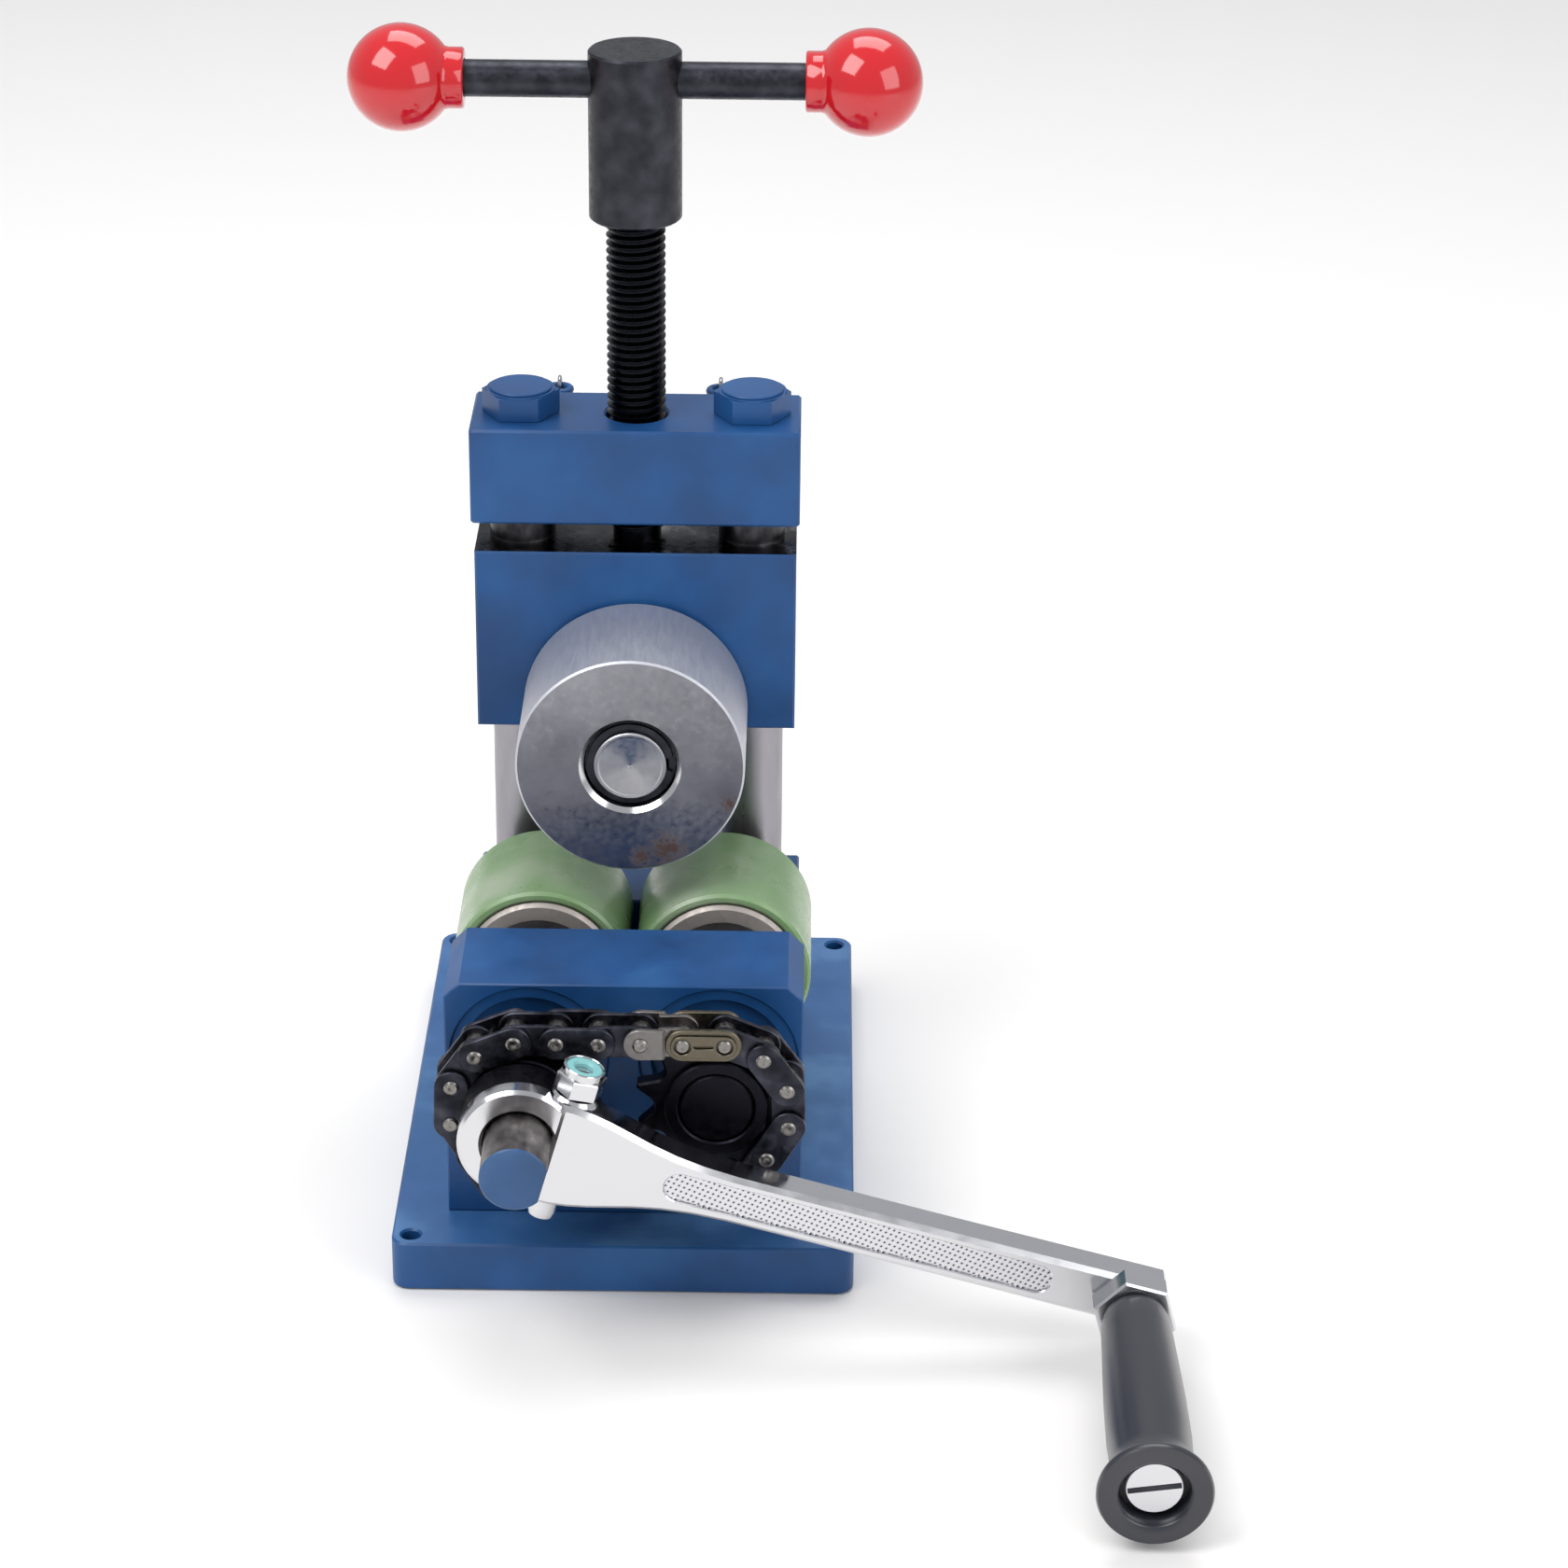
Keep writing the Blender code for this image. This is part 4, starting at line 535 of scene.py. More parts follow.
def rounded(profile, break_mm):
    """Replaces the corners of a turned profile by small flats, less than half of each side long."""
    most_share = 2.2
    result = [profile[0]]
    for before, here, after in zip(profile, profile[1:], profile[2:]):
        a, b, c = Vector(before), Vector(here), Vector(after)
        cut = min(break_mm, (a - b).length / most_share, (c - b).length / most_share)
        result += [tuple(b + (a - b).normalized() * cut), tuple(b + (c - b).normalized() * cut)]
    return result + [profile[-1]]


def rod_profile(radius, low, high, edge=0.4):
    return rounded([(0.0, high), (radius, high), (radius, low), (0.0, low)], edge)


def loop_profile(loop, edge):
    """A closed profile with all its corners broken."""
    return rounded([loop[-1], *loop, loop[0]], edge)[1:-1]


def ring_profile(outer, inner, low, high, edge=SMALL_BREAK):
    return loop_profile([(inner, high), (outer, high), (outer, low), (inner, low)], edge)


def shifted(outline, distance):
    """An anticlockwise outline moved inwards by a distance; its sharpest corners are held back."""
    sharpest = 0.3
    result = []
    count = len(outline)
    for i in range(count):
        a, b, c = Vector(outline[i - 1]), Vector(outline[i]), Vector(outline[(i + 1) % count])
        first, second = (b - a).normalized(), (c - b).normalized()
        n1, n2 = Vector((-first.y, first.x)), Vector((-second.y, second.x))
        middle = n1 + n2
        result.append(tuple(b + middle * (distance / max(middle.dot(n1), sharpest))))
    return result


def loop_at(bm, outline, height, transform=ALONG_Z):
    verts = [bm.verts.new(transform @ Vector((x, y, height))) for x, y in outline]
    return [bm.edges.new((verts[i - 1], verts[i])) for i in range(len(verts))]


def fill(bm, edges):
    bmesh.ops.triangle_fill(bm, use_beauty=True, use_dissolve=True, edges=edges)


def add_prism(bm, outline, low, high, edge=0.0, holes=(), transform=ALONG_Z, index=0):
    """A plate with broken edges; outlines and holes run anticlockwise in the local XY."""
    before = set(bm.faces)
    caps = {low: [], high: []}
    for path in [outline, *holes]:
        levels = [(low, 0.0), (high, 0.0)]
        if edge:
            inwards = edge if path is outline else -edge
            levels = [(low, inwards), (low + edge, 0.0), (high - edge, 0.0), (high, inwards)]
        rings = [loop_at(bm, shifted(path, move) if move else path, height, transform)
                 for height, move in levels]
        for first, second in zip(rings, rings[1:]):
            bmesh.ops.bridge_loops(bm, edges=first + second)
        caps[low] += rings[0]
        caps[high] += rings[-1]
    for edges in caps.values():
        fill(bm, edges)
    mark_new(bm, before, index)


def prism(name, outline, low, high, transform, material, body, nodes, edge=SMALL_BREAK, holes=()):
    bm = bmesh.new()
    add_prism(bm, outline, low, high, edge, holes)
    return finish_piece(bm, name, transform, [material], body, nodes)


def circle(radius, sides=ROD_SIDES, centre=(0.0, 0.0), start=0.0):
    return [polar(radius, start + FULL_TURN * i / sides, centre) for i in range(sides)]


def hexagon(half, start=0.0):
    """A hexagon by half its width across its flats."""
    return circle(half / math.cos(math.pi / 6.0), 6, (0.0, 0.0), start)


def half_circle(centre, radius, start, steps):
    return [polar(radius, start + math.pi * i / steps, centre) for i in range(steps + 1)]


def obround(first, second, half, steps=12):
    """The outline round two centres, anticlockwise."""
    angle = math.atan2(second[1] - first[1], second[0] - first[0])
    return (half_circle(second, half, angle - QUARTER_TURN, steps)
            + half_circle(first, half, angle + QUARTER_TURN, steps))


def rectangle(width, height, corner=0.0, steps=0, centre=(0.0, 0.0)):
    """A rectangle about its centre; with a corner radius and steps, its corners are round."""
    x, y = width / 2.0 - corner, height / 2.0 - corner
    path = []
    for number, (cx, cy) in enumerate(((x, -y), (x, y), (-x, y), (-x, -y))):
        start = (number - 1) * QUARTER_TURN
        path += [polar(corner, start + QUARTER_TURN * i / max(steps, 1), (centre[0] + cx, centre[1] + cy))
                 for i in range(steps + 1)]
    return path


def tube(name, path, radius, sides, material, nodes):
    """A round wire along points given in the row frame's millimetres; it rides on nothing yet."""
    bm = bmesh.new()
    points = [Vector(p) for p in path]
    up = Vector((1.0, 0.0, 0.0))
    rings = []
    for i, point in enumerate(points):
        along = (points[min(i + 1, len(points) - 1)] - points[max(i - 1, 0)]).normalized()
        up = (up - along * up.dot(along)).normalized()
        side = along.cross(up)
        turns = [FULL_TURN * k / sides for k in range(sides)]
        verts = [bm.verts.new(point + radius * (math.cos(turn) * up + math.sin(turn) * side))
                 for turn in turns]
        rings.append([bm.edges.new((verts[k - 1], verts[k])) for k in range(sides)])
    for first, second in zip(rings, rings[1:]):
        bmesh.ops.bridge_loops(bm, edges=first + second)
    for ring in (rings[0], rings[-1]):
        bmesh.ops.contextual_create(bm, geom=ring)
    return finish_piece(bm, name, place(0.0, 0.0, 0.0), [material], None, nodes)


def hex_head(bm, half, low, high):
    """A hexagon head whose top corners are turned off: its flats, the turned collar and the top."""
    crown, collar_low, collar_high, top_low = 0.9, 0.95, 0.55, 0.6
    collar_share, top_share, top_break = 1.02, 0.93, 0.25
    add_prism(bm, hexagon(half), low, high - crown)
    top = [(x * top_share, y * top_share) for x, y in circle(half)]
    add_prism(bm, circle(half * collar_share), high - collar_low, high - collar_high)
    add_prism(bm, top, high - top_low, high, top_break)


# The frame: base plate, blocks, bearings, columns, bolts

BASE_CORNER = 4.0
BASE_CORNER_STEPS = 4
HOLE_INSET = 4.5
HOLE_RADIUS = 2.2
BLOCK_HALF = 41.5
BLOCK_TOP = 73.0
BLOCK_CHAMFER = 3.6
BLOCK_DEPTH = 28.5
BLOCK_BREAK = 0.35
SEAT_BORE = 17.6
SEAT_FRONT = 1.8
SEAT_REAR = 26.5
SNAP_RING_BORE = 15.6
SNAP_RING_FRONT = 0.7
SNAP_RING_REAR = 1.9
BEARING_RADIUS = 17.5
BEARING_WIDTH = 10.0
BEARING_FRONT = 2.2
BEARING_REAR = 16.3
SHIELD_OUTER = 15.4
SHIELD_INNER = 10.8
SHIELD_DEPTH = 0.9
REAR_BLOCK_WIDTH = 80.0
REAR_BLOCK_TOP = 54.8
REAR_BLOCK_CORNER = 0.6
REAR_CORNER_STEPS = 2
TOP_BLOCK_WIDTH = 78.5
TOP_BLOCK_LOW = 154.8
TOP_BLOCK_HIGH = 178.6
TOP_BLOCK_CORNER = 0.7
TOP_BLOCK_BREAK = 0.6
TOP_BOLT_HOLE = 5.3
TOP_SCREW_HOLE = 7.3
COLUMN_RADIUS = 8.0
COLUMN_LOW = 34.8
COLUMN_HIGH = 158.8
COLUMN_BREAK = 0.6
BOLT_HEAD_HALF = 8.0
BOLT_HEAD_LOW = 178.75
BOLT_HEAD_HIGH = 185.2
BOLT_RADIUS = 5.0
BOLT_LOW = 159.2
BOLT_HIGH = 181.0


def build_base():
    path = [(x, y + BASE_DEPTH / 2.0)
            for x, y in rectangle(BASE_WIDTH, BASE_DEPTH, BASE_CORNER, BASE_CORNER_STEPS)]
    holes = [circle(HOLE_RADIUS, HOLE_SIDES, (side * (BASE_WIDTH / 2.0 - HOLE_INSET), y)) for side in (-1, 1)
             for y in (HOLE_INSET, BASE_DEPTH - HOLE_INSET)]
    bm = bmesh.new()
    add_prism(bm, path, 0.0, BASE_THICK, EDGE_BREAK, holes)
    # The top faces take the paler copy of the enamel: painted light, as if lit from above
    mark_where(bm, lambda middle: middle.z > BASE_THICK - SEAM)
    finish_piece(bm, "base_plate_painted", place(0.0, 0.0, 0.0), ["blue", "blue_lit_top"], "frame",
                 ["base_plate"])


def build_front_block():
    shoulder, flat = BLOCK_TOP - BLOCK_CHAMFER, BLOCK_HALF - BLOCK_CHAMFER
    path = [(-BLOCK_HALF, BLOCK_FOOT), (BLOCK_HALF, BLOCK_FOOT), (BLOCK_HALF, shoulder), (flat, BLOCK_TOP),
            (-flat, BLOCK_TOP), (-BLOCK_HALF, shoulder)]
    bores = [circle(SEAT_RADIUS, RING_SIDES, (x, AXIS_Z)) for x in (LEFT, RIGHT)]
    prism("front_block_painted", path, -BLOCK_DEPTH, 0.0, place(0.0, BLOCK_FRONT, 0.0, FACE_FRONT), "blue",
          "frame", ["front_bearing_block"], BLOCK_BREAK, bores)


def build_bearings(side, x):
    spot = place(x, BLOCK_FRONT, AXIS_Z, ALONG_Y)
    turned(f"{side}_bearing_seat", ring_profile(SEAT_RADIUS, SEAT_BORE, SEAT_FRONT, SEAT_REAR), RING_SIDES,
           spot, "blue", "frame", [], True)
    snap_ring = ring_profile(SEAT_RADIUS, SNAP_RING_BORE, SNAP_RING_FRONT, SNAP_RING_REAR, FINE_BREAK)
    turned(f"{side}_snap_ring", snap_ring, RING_SIDES, spot, "blue", "frame", [f"{side}_retaining_ring"],
           True)
    for end, low, finish in (("front", BEARING_FRONT, "blue"), ("rear", BEARING_REAR, "turned")):
        high, sunk = low + BEARING_WIDTH, low + SHIELD_DEPTH
        shape = loop_profile([(BEARING_RADIUS, high), (BEARING_RADIUS, low), (SHIELD_OUTER, low),
                              (SHIELD_OUTER, sunk), (SHIELD_INNER, sunk), (SHIELD_INNER, low),
                              (SHAFT_BORE, low), (SHAFT_BORE, high)], FINE_BREAK)
        turned(f"{side}_{end}_ball_bearing", shape, RING_SIDES, spot, finish, "frame",
               [f"{side}_{end}_bearing"], True)


def build_rear_frame():
    spot = place(0.0, REAR_MID, 0.0)
    path = rectangle(REAR_BLOCK_WIDTH, REAR_DEPTH, REAR_BLOCK_CORNER, REAR_CORNER_STEPS)
    prism("column_block_painted", path, BLOCK_FOOT, REAR_BLOCK_TOP, spot, "blue", "frame",
          ["rear_column_block"], EDGE_BREAK)
    holes = [circle(TOP_BOLT_HOLE, BOLT_SIDES, (x, 0.0)) for x in (-COLUMN_X, COLUMN_X)]
    path = rectangle(TOP_BLOCK_WIDTH, REAR_DEPTH, TOP_BLOCK_CORNER, REAR_CORNER_STEPS)
    prism("top_block_painted", path, TOP_BLOCK_LOW, TOP_BLOCK_HIGH, spot, "blue", "frame", ["top_block"],
          TOP_BLOCK_BREAK, holes + [circle(TOP_SCREW_HOLE)])
    for side, x in (("left", -COLUMN_X), ("right", COLUMN_X)):
        spot = place(x, REAR_MID, 0.0)
        column = rod_profile(COLUMN_RADIUS, COLUMN_LOW, COLUMN_HIGH, COLUMN_BREAK)
        turned(f"{side}_column", column, RING_SIDES, spot, "column", "frame", [f"{side}_guide_column"])
        bm = bmesh.new()
        hex_head(bm, BOLT_HEAD_HALF, BOLT_HEAD_LOW, BOLT_HEAD_HIGH)
        add_turned(bm, rod_profile(BOLT_RADIUS, BOLT_LOW, BOLT_HIGH), BOLT_SIDES)
        finish_piece(bm, f"{side}_bolt", spot, ["blue"], "frame", [f"{side}_top_bolt"])


def build_frame():
    build_base()
    build_front_block()
    for side, x in (("left", LEFT), ("right", RIGHT)):
        build_bearings(side, x)
    build_rear_frame()


# The carriage with the upper roller

SLIDE_HALF = 38.5
SLIDE_LOW = 102.1
SLIDE_TOP = 147.7
SLIDE_BOSS_HALF = 16.5
SLIDE_BOSS_LOW = 92.6
UPPER_BORE = 11.0
UPPER_BORE_CHAMFER = 1.1
BUSH_FRONT = 61.4
BUSH_REAR = 92.7
STUD_RADIUS = 7.0
STUD_END = 130.3
SHAFT_SHOULDER = 94.0
CIRCLIP_GROOVE_RADIUS = 7.9
CIRCLIP_GROOVE = (60.2, 61.7)
UPPER_SHAFT_RIM = 7.6
UPPER_SHAFT_LIP = 7.4
UPPER_SHAFT_BREAK = 0.25
UPPER_SHAFT_FRONT = 58.8
UPPER_SHAFT_FACE = 59.0
UPPER_SHAFT_DISH = 59.5
UPPER_SHAFT_DISH_RADIUS = 0.6
CIRCLIP_OUTER = 10.2
CIRCLIP_INNER = 8.2
CIRCLIP_PLACE = (-61.1, -60.2)
CIRCLIP_OUTER_DEGREES = range(8, 353, 5)
CIRCLIP_INNER_DEGREES = range(352, 7, -5)
SHAFT_NUT_HALF = 10.5
SHAFT_NUT_HEIGHT = 6.5
NUT_GAP = 0.3


def build_slide():
    path = [(-SLIDE_HALF, SLIDE_LOW), (-SLIDE_BOSS_HALF, SLIDE_LOW), (-SLIDE_BOSS_HALF, SLIDE_BOSS_LOW),
            (SLIDE_BOSS_HALF, SLIDE_BOSS_LOW), (SLIDE_BOSS_HALF, SLIDE_LOW), (SLIDE_HALF, SLIDE_LOW),
            (SLIDE_HALF, SLIDE_TOP), (-SLIDE_HALF, SLIDE_TOP)]
    bm = bmesh.new()
    add_prism(bm, path, -REAR_DEPTH, 0.0, EDGE_BREAK)
    # The top face in the gap under the top block takes the greased finish: grease with painted shade and
    # painted glints
    mark_where(bm, lambda middle: middle.y > SLIDE_TOP - SEAM)
    finish_piece(bm, "slide_block_painted", place(0.0, REAR_Y, 0.0, FACE_FRONT), ["blue", "grease_gap_shade"],
                 "carriage", ["slide_block"])


def build_upper_roller(spot):
    """The roller in three parts of one mesh: barrel and rear, front face, and the bright bore."""
    edge, rim, mouth = UPPER_RADIUS - EDGE_BREAK, UPPER_BORE, UPPER_BORE + UPPER_BORE_CHAMFER
    bm = bmesh.new()
    add_turned(bm, [(edge, ROLLER_FRONT), (UPPER_RADIUS, ROLLER_FRONT + EDGE_BREAK),
                    (UPPER_RADIUS, ROLLER_REAR - EDGE_BREAK), (edge, ROLLER_REAR), (rim, ROLLER_REAR)],
               ROLLER_SIDES)
    add_turned(bm, [(mouth, ROLLER_FRONT), (edge, ROLLER_FRONT)], ROLLER_SIDES, index=1)
    add_turned(bm, [(rim, ROLLER_REAR), (rim, ROLLER_FRONT + UPPER_BORE_CHAMFER), (mouth, ROLLER_FRONT)],
               ROLLER_SIDES, index=2)
    finish_piece(bm, "upper_roller_steel", spot, ["roller", "face", "chrome"], "upper_roller",
                 ["upper_roller"])


def build_carriage():
    build_slide()
    spot = place(0.0, 0.0, UPPER_Z, ALONG_Y)
    build_upper_roller(spot)
    turned("upper_bush", ring_profile(UPPER_BORE, SHAFT_BORE, BUSH_FRONT, BUSH_REAR), RING_SIDES, spot,
           "black", "upper_roller", ["upper_roller_bush"], True)
    front, rear = CIRCLIP_GROOVE
    shaft = rounded([(0.0, STUD_END), (STUD_RADIUS, STUD_END), (STUD_RADIUS, SHAFT_SHOULDER),
                     (SHAFT_RADIUS, SHAFT_SHOULDER), (SHAFT_RADIUS, rear), (CIRCLIP_GROOVE_RADIUS, rear),
                     (CIRCLIP_GROOVE_RADIUS, front), (SHAFT_RADIUS, front), (SHAFT_RADIUS, UPPER_SHAFT_FRONT),
                     (UPPER_SHAFT_RIM, UPPER_SHAFT_FRONT), (UPPER_SHAFT_LIP, UPPER_SHAFT_FACE),
                     (UPPER_SHAFT_DISH_RADIUS, UPPER_SHAFT_FACE), (0.0, UPPER_SHAFT_DISH)], UPPER_SHAFT_BREAK)
    turned("upper_shaft_turned", shaft, SHAFT_SIDES, spot, "shaft_face", "carriage", ["upper_roller_shaft"])
    arc = [polar(CIRCLIP_OUTER, math.radians(a)) for a in CIRCLIP_OUTER_DEGREES]
    arc += [polar(CIRCLIP_INNER, math.radians(a)) for a in CIRCLIP_INNER_DEGREES]
    prism("upper_circlip", arc, *CIRCLIP_PLACE, place(0.0, 0.0, UPPER_Z, FACE_FRONT), "black", "carriage",
          ["upper_shaft_circlip"], 0.0)
    bm = bmesh.new()
    hex_head(bm, SHAFT_NUT_HALF, 0.0, SHAFT_NUT_HEIGHT)
    finish_piece(bm, "rear_shaft_nut", place(0.0, REAR_FACE + NUT_GAP, UPPER_Z, ALONG_Y), ["black"],
                 "carriage", ["upper_shaft_nut"])


# The press screw with its hub, bar and knobs

THREAD_CREST = 7.0
THREAD_ROOT = 5.85
THREAD_LOW = 149.0
THREAD_LENGTH = 80.0
THREAD_STEPS = 36
THREAD_SHARES = ((THREAD_ROOT, 0.0), (THREAD_ROOT, 0.125), (THREAD_CREST, 0.425), (THREAD_CREST, 0.575),
                 (THREAD_ROOT, 0.875), (THREAD_ROOT, 1.0))
SCREW_CORE = 5.8
SCREW_LOW = 142.5
SCREW_HIGH = 243.0
HUB_RADIUS = 10.9
HUB_BORE = 7.3
HUB_LOW = 227.2
HUB_HIGH = 267.4
BAR_RADIUS = 4.3
BAR_HALF = 49.0
KNOB_X = 54.0
BALL_DEGREES = range(4, 145, 4)
KNOB_NECK = 7.1
KNOB_NECK_SPAN = (-11.0, -14.2)
KNOB_REAR = -14.6
KNOB_REAR_RADIUS = 6.7
KNOB_BORE = 4.6
KNOB_BORE_END = -5.5


def build_screw():
    spot = place(0.0, REAR_MID, 0.0)
    bm = bmesh.new()
    pitch = size("thread_pitch")
    turns = round(THREAD_LENGTH / pitch)
    verts = [bm.verts.new((radius, 0.0, THREAD_LOW + share * pitch)) for radius, share in THREAD_SHARES]
    edges = [bm.edges.new(pair) for pair in zip(verts, verts[1:])]
    bmesh.ops.spin(bm, geom=verts + edges, cent=(0.0, 0.0, 0.0), axis=(0.0, 0.0, 1.0),
                   dvec=(0.0, 0.0, pitch / THREAD_STEPS), angle=FULL_TURN * turns, steps=THREAD_STEPS * turns)
    add_turned(bm, rod_profile(SCREW_CORE, SCREW_LOW, SCREW_HIGH), ROD_SIDES)
    finish_piece(bm, "press_screw_threaded", spot, ["screw"], "press_screw", ["press_screw"], THREAD_ANGLE)
    hub = rounded([(0.0, HUB_HIGH), (HUB_RADIUS, HUB_HIGH), (HUB_RADIUS, HUB_LOW), (HUB_BORE, HUB_LOW),
                   (HUB_BORE, SCREW_HIGH), (0.0, SCREW_HIGH)], EDGE_BREAK)
    turned("screw_hub_black", hub, SHAFT_SIDES, spot, "black", "press_screw", ["screw_hub"])
    turned("tommy_bar_black", rod_profile(BAR_RADIUS, -BAR_HALF, BAR_HALF), ROD_SIDES,
           place(0.0, REAR_MID, BAR_Z, ALONG_X), "black", "press_screw", ["tommy_bar"])
    radius = size("knob_radius")
    ball = [polar(radius, QUARTER_TURN - math.radians(a)) for a in BALL_DEGREES]
    front, rear = KNOB_NECK_SPAN
    shape = [(0.0, radius), *ball, (KNOB_NECK, front), (KNOB_NECK, rear), (KNOB_REAR_RADIUS, KNOB_REAR),
             (KNOB_BORE, KNOB_REAR), (KNOB_BORE, KNOB_BORE_END), (0.0, KNOB_BORE_END)]
    for side, x, turn in (("left", -KNOB_X, ALONG_BACK_X), ("right", KNOB_X, ALONG_X)):
        turned(f"{side}_ball_knob", shape, HUB_SIDES, place(x, REAR_MID, BAR_Z, turn), "red", "press_screw",
               [f"{side}_knob"], False, MOULDED_ANGLE)


# The two lower rollers with their sprockets

TOOTH_ROOT_RADIUS = 2.75
TOOTH_ROOT_DEGREES = range(30, 151, 20)
# Shares of the step between two pins, each with its radius
TOOTH_TIP_SHARES = ((0.385, 17.6), (0.455, 18.7), (0.545, 18.7), (0.615, 17.6))
SHAFT_REAR = 86.2
LEFT_SHAFT_STEP = -7.3
LEFT_SHAFT_NECK = 7.8
LEFT_SHAFT_NECK_END = -11.0
LEFT_SHAFT_FLAT = 6.6
LEFT_SHAFT_NOSE = (10.5, 40.0)
LEFT_SHAFT_STEPS = 60
RIGHT_SHAFT_FRONT = -7.1
CORE_REAR = 86.5
SLEEVE_INNER = 18.7
SLEEVE_OUTER = 21.2
SLEEVE_BREAK = 0.7
COLLAR_RADIUS = 14.5
COLLAR_FRONT = 44.3
COLLAR_REAR = 57.7
WASHER_RADIUS = 12.5
WASHER_FRONT = 86.8
WASHER_REAR = 88.6
END_BOLT_HALF = 5.4
END_BOLT_REAR = 93.0
SPROCKET_FRONT = 5.5
SPROCKET_REAR = 1.3
# Radius, front and rear
SPROCKET_HUBS = ((11.9, -7.3, -3.0), (11.7, -3.0, 16.8))
TURNED_BREAK = 0.4


def tooth_path():
    """The sprocket's outline: a round root at each pin's place and a narrow tip between two of them."""
    path = []
    for tooth in range(TEETH):
        middle = QUARTER_TURN + tooth * STEP_ANGLE
        for degrees in TOOTH_ROOT_DEGREES:
            angle = math.radians(degrees)
            local = Vector((PIN_CIRCLE - TOOTH_ROOT_RADIUS * math.sin(angle),
                            -TOOTH_ROOT_RADIUS * math.cos(angle)))
            path.append(polar(local.length, middle + math.atan2(local.y, local.x)))
        path += [polar(reach, middle + share * STEP_ANGLE) for share, reach in TOOTH_TIP_SHARES]
    return path


def chain_lead():
    """How far round its sprocket the first pin of the straight top run stands."""
    return math.asin(TOP_RUN_SPARE / PIN_CIRCLE)


def build_left_shaft(spot):
    """The driving shaft: its front end is stepped down, flatted for the cotter and blue on its face."""
    back, face = LEFT_SHAFT_NOSE
    bm = bmesh.new()
    add_turned(bm, rounded([(0.0, SHAFT_REAR), (SHAFT_RADIUS, SHAFT_REAR), (SHAFT_RADIUS, LEFT_SHAFT_STEP),
                            (LEFT_SHAFT_NECK, LEFT_SHAFT_STEP), (LEFT_SHAFT_NECK, LEFT_SHAFT_NECK_END),
                            (0.0, LEFT_SHAFT_NECK_END)], SMALL_BREAK), SHAFT_SIDES)
    limit = math.acos(LEFT_SHAFT_FLAT / LEFT_SHAFT_NECK)
    path = [polar(LEFT_SHAFT_NECK, limit + (FULL_TURN - 2.0 * limit) * i / LEFT_SHAFT_STEPS)
            for i in range(LEFT_SHAFT_STEPS + 1)]
    add_prism(bm, path, back, face, BLOCK_BREAK, (), CRANK_TURN_LOCAL)
    mark_where(bm, lambda middle: middle.z < EDGE_BREAK - face, 2)
    finish_piece(bm, "left_shaft_turned", spot, ["dull_steel", "black", "blue_end"], "crank", ["left_shaft"])


def build_right_shaft(spot):
    bm = bmesh.new()
    add_turned(bm, rounded([(0.0, SHAFT_REAR), (SHAFT_RADIUS, SHAFT_REAR), (SHAFT_RADIUS, RIGHT_SHAFT_FRONT),
                            (0.0, RIGHT_SHAFT_FRONT)], EDGE_BREAK), SHAFT_SIDES)
    mark_where(bm, lambda middle: middle.z < RIGHT_SHAFT_FRONT + 2.0 * SMALL_BREAK)
    finish_piece(bm, "right_shaft_turned", spot, ["dull_steel", "sprocket"], "driven_roller", ["right_shaft"])


def build_lower_roller(side, spot, body):
    core = ring_profile(SEAT_RADIUS, SHAFT_BORE, ROLLER_FRONT - TURNED_BREAK, CORE_REAR, SHIELD_DEPTH)
    turned(f"{side}_core", core, SHAFT_SIDES, spot, "core", body, [f"{side}_roller_core"], True)
    sleeve = loop_profile([(SLEEVE_OUTER, ROLLER_REAR), (SLEEVE_OUTER, ROLLER_FRONT),
                           (SLEEVE_INNER, ROLLER_FRONT), (SLEEVE_INNER, ROLLER_REAR)], SLEEVE_BREAK)
    turned(f"{side}_urethane", sleeve, SLEEVE_SIDES, spot, "urethane", body, [f"{side}_roller_sleeve"], True)
    turned(f"{side}_collar", ring_profile(COLLAR_RADIUS, SHAFT_BORE, COLLAR_FRONT, COLLAR_REAR, TURNED_BREAK),
           HUB_SIDES, spot, "black", body, [f"{side}_shaft_collar"], True)
    bm = bmesh.new()
    add_turned(bm, rod_profile(WASHER_RADIUS, WASHER_FRONT, WASHER_REAR), ROD_SIDES)
    hex_head(bm, END_BOLT_HALF, WASHER_REAR, END_BOLT_REAR)
    finish_piece(bm, f"{side}_end_bolt_head", spot, ["black"], body, [f"{side}_end_bolt"])


def build_sprocket(side, x, body, turn):
    bm = bmesh.new()
    add_prism(bm, tooth_path(), SPROCKET_REAR, SPROCKET_FRONT, EDGE_BREAK, [circle(SHAFT_BORE)],
              Matrix.Rotation(turn, 4, "Z"))
    for radius, low, high in SPROCKET_HUBS:
        add_turned(bm, ring_profile(radius, SHAFT_BORE, low, high, TURNED_BREAK), HUB_SIDES,
                   (ALONG_Y.inverted() @ FACE_FRONT).inverted(), True)
    finish_piece(bm, f"{side}_sprocket_black", place(x, 0.0, AXIS_Z, FACE_FRONT), ["sprocket"], body,
                 [f"{side}_sprocket"])


def build_rotors():
    lead = chain_lead()
    for side, x, body, turn in (("left", LEFT, "crank", lead), ("right", RIGHT, "driven_roller", -lead)):
        spot = place(x, 0.0, AXIS_Z, ALONG_Y)
        if side == "left":
            build_left_shaft(spot)
        else:
            build_right_shaft(spot)
        build_lower_roller(side, spot, body)
        build_sprocket(side, x, body, turn)


# The chain

TOP_PINS = 6
WRAP_PINS = 4
OFFSET_LINK = 3
JOINING_LINK = 4
INNER_PLATE = 2.5
OUTER_PLATE = 3.85
PLATE = 1.25
PLATE_BREAK = 0.22
OUTER_HALF = 3.92
INNER_HALF = 3.85
PIN_REACH = 5.7
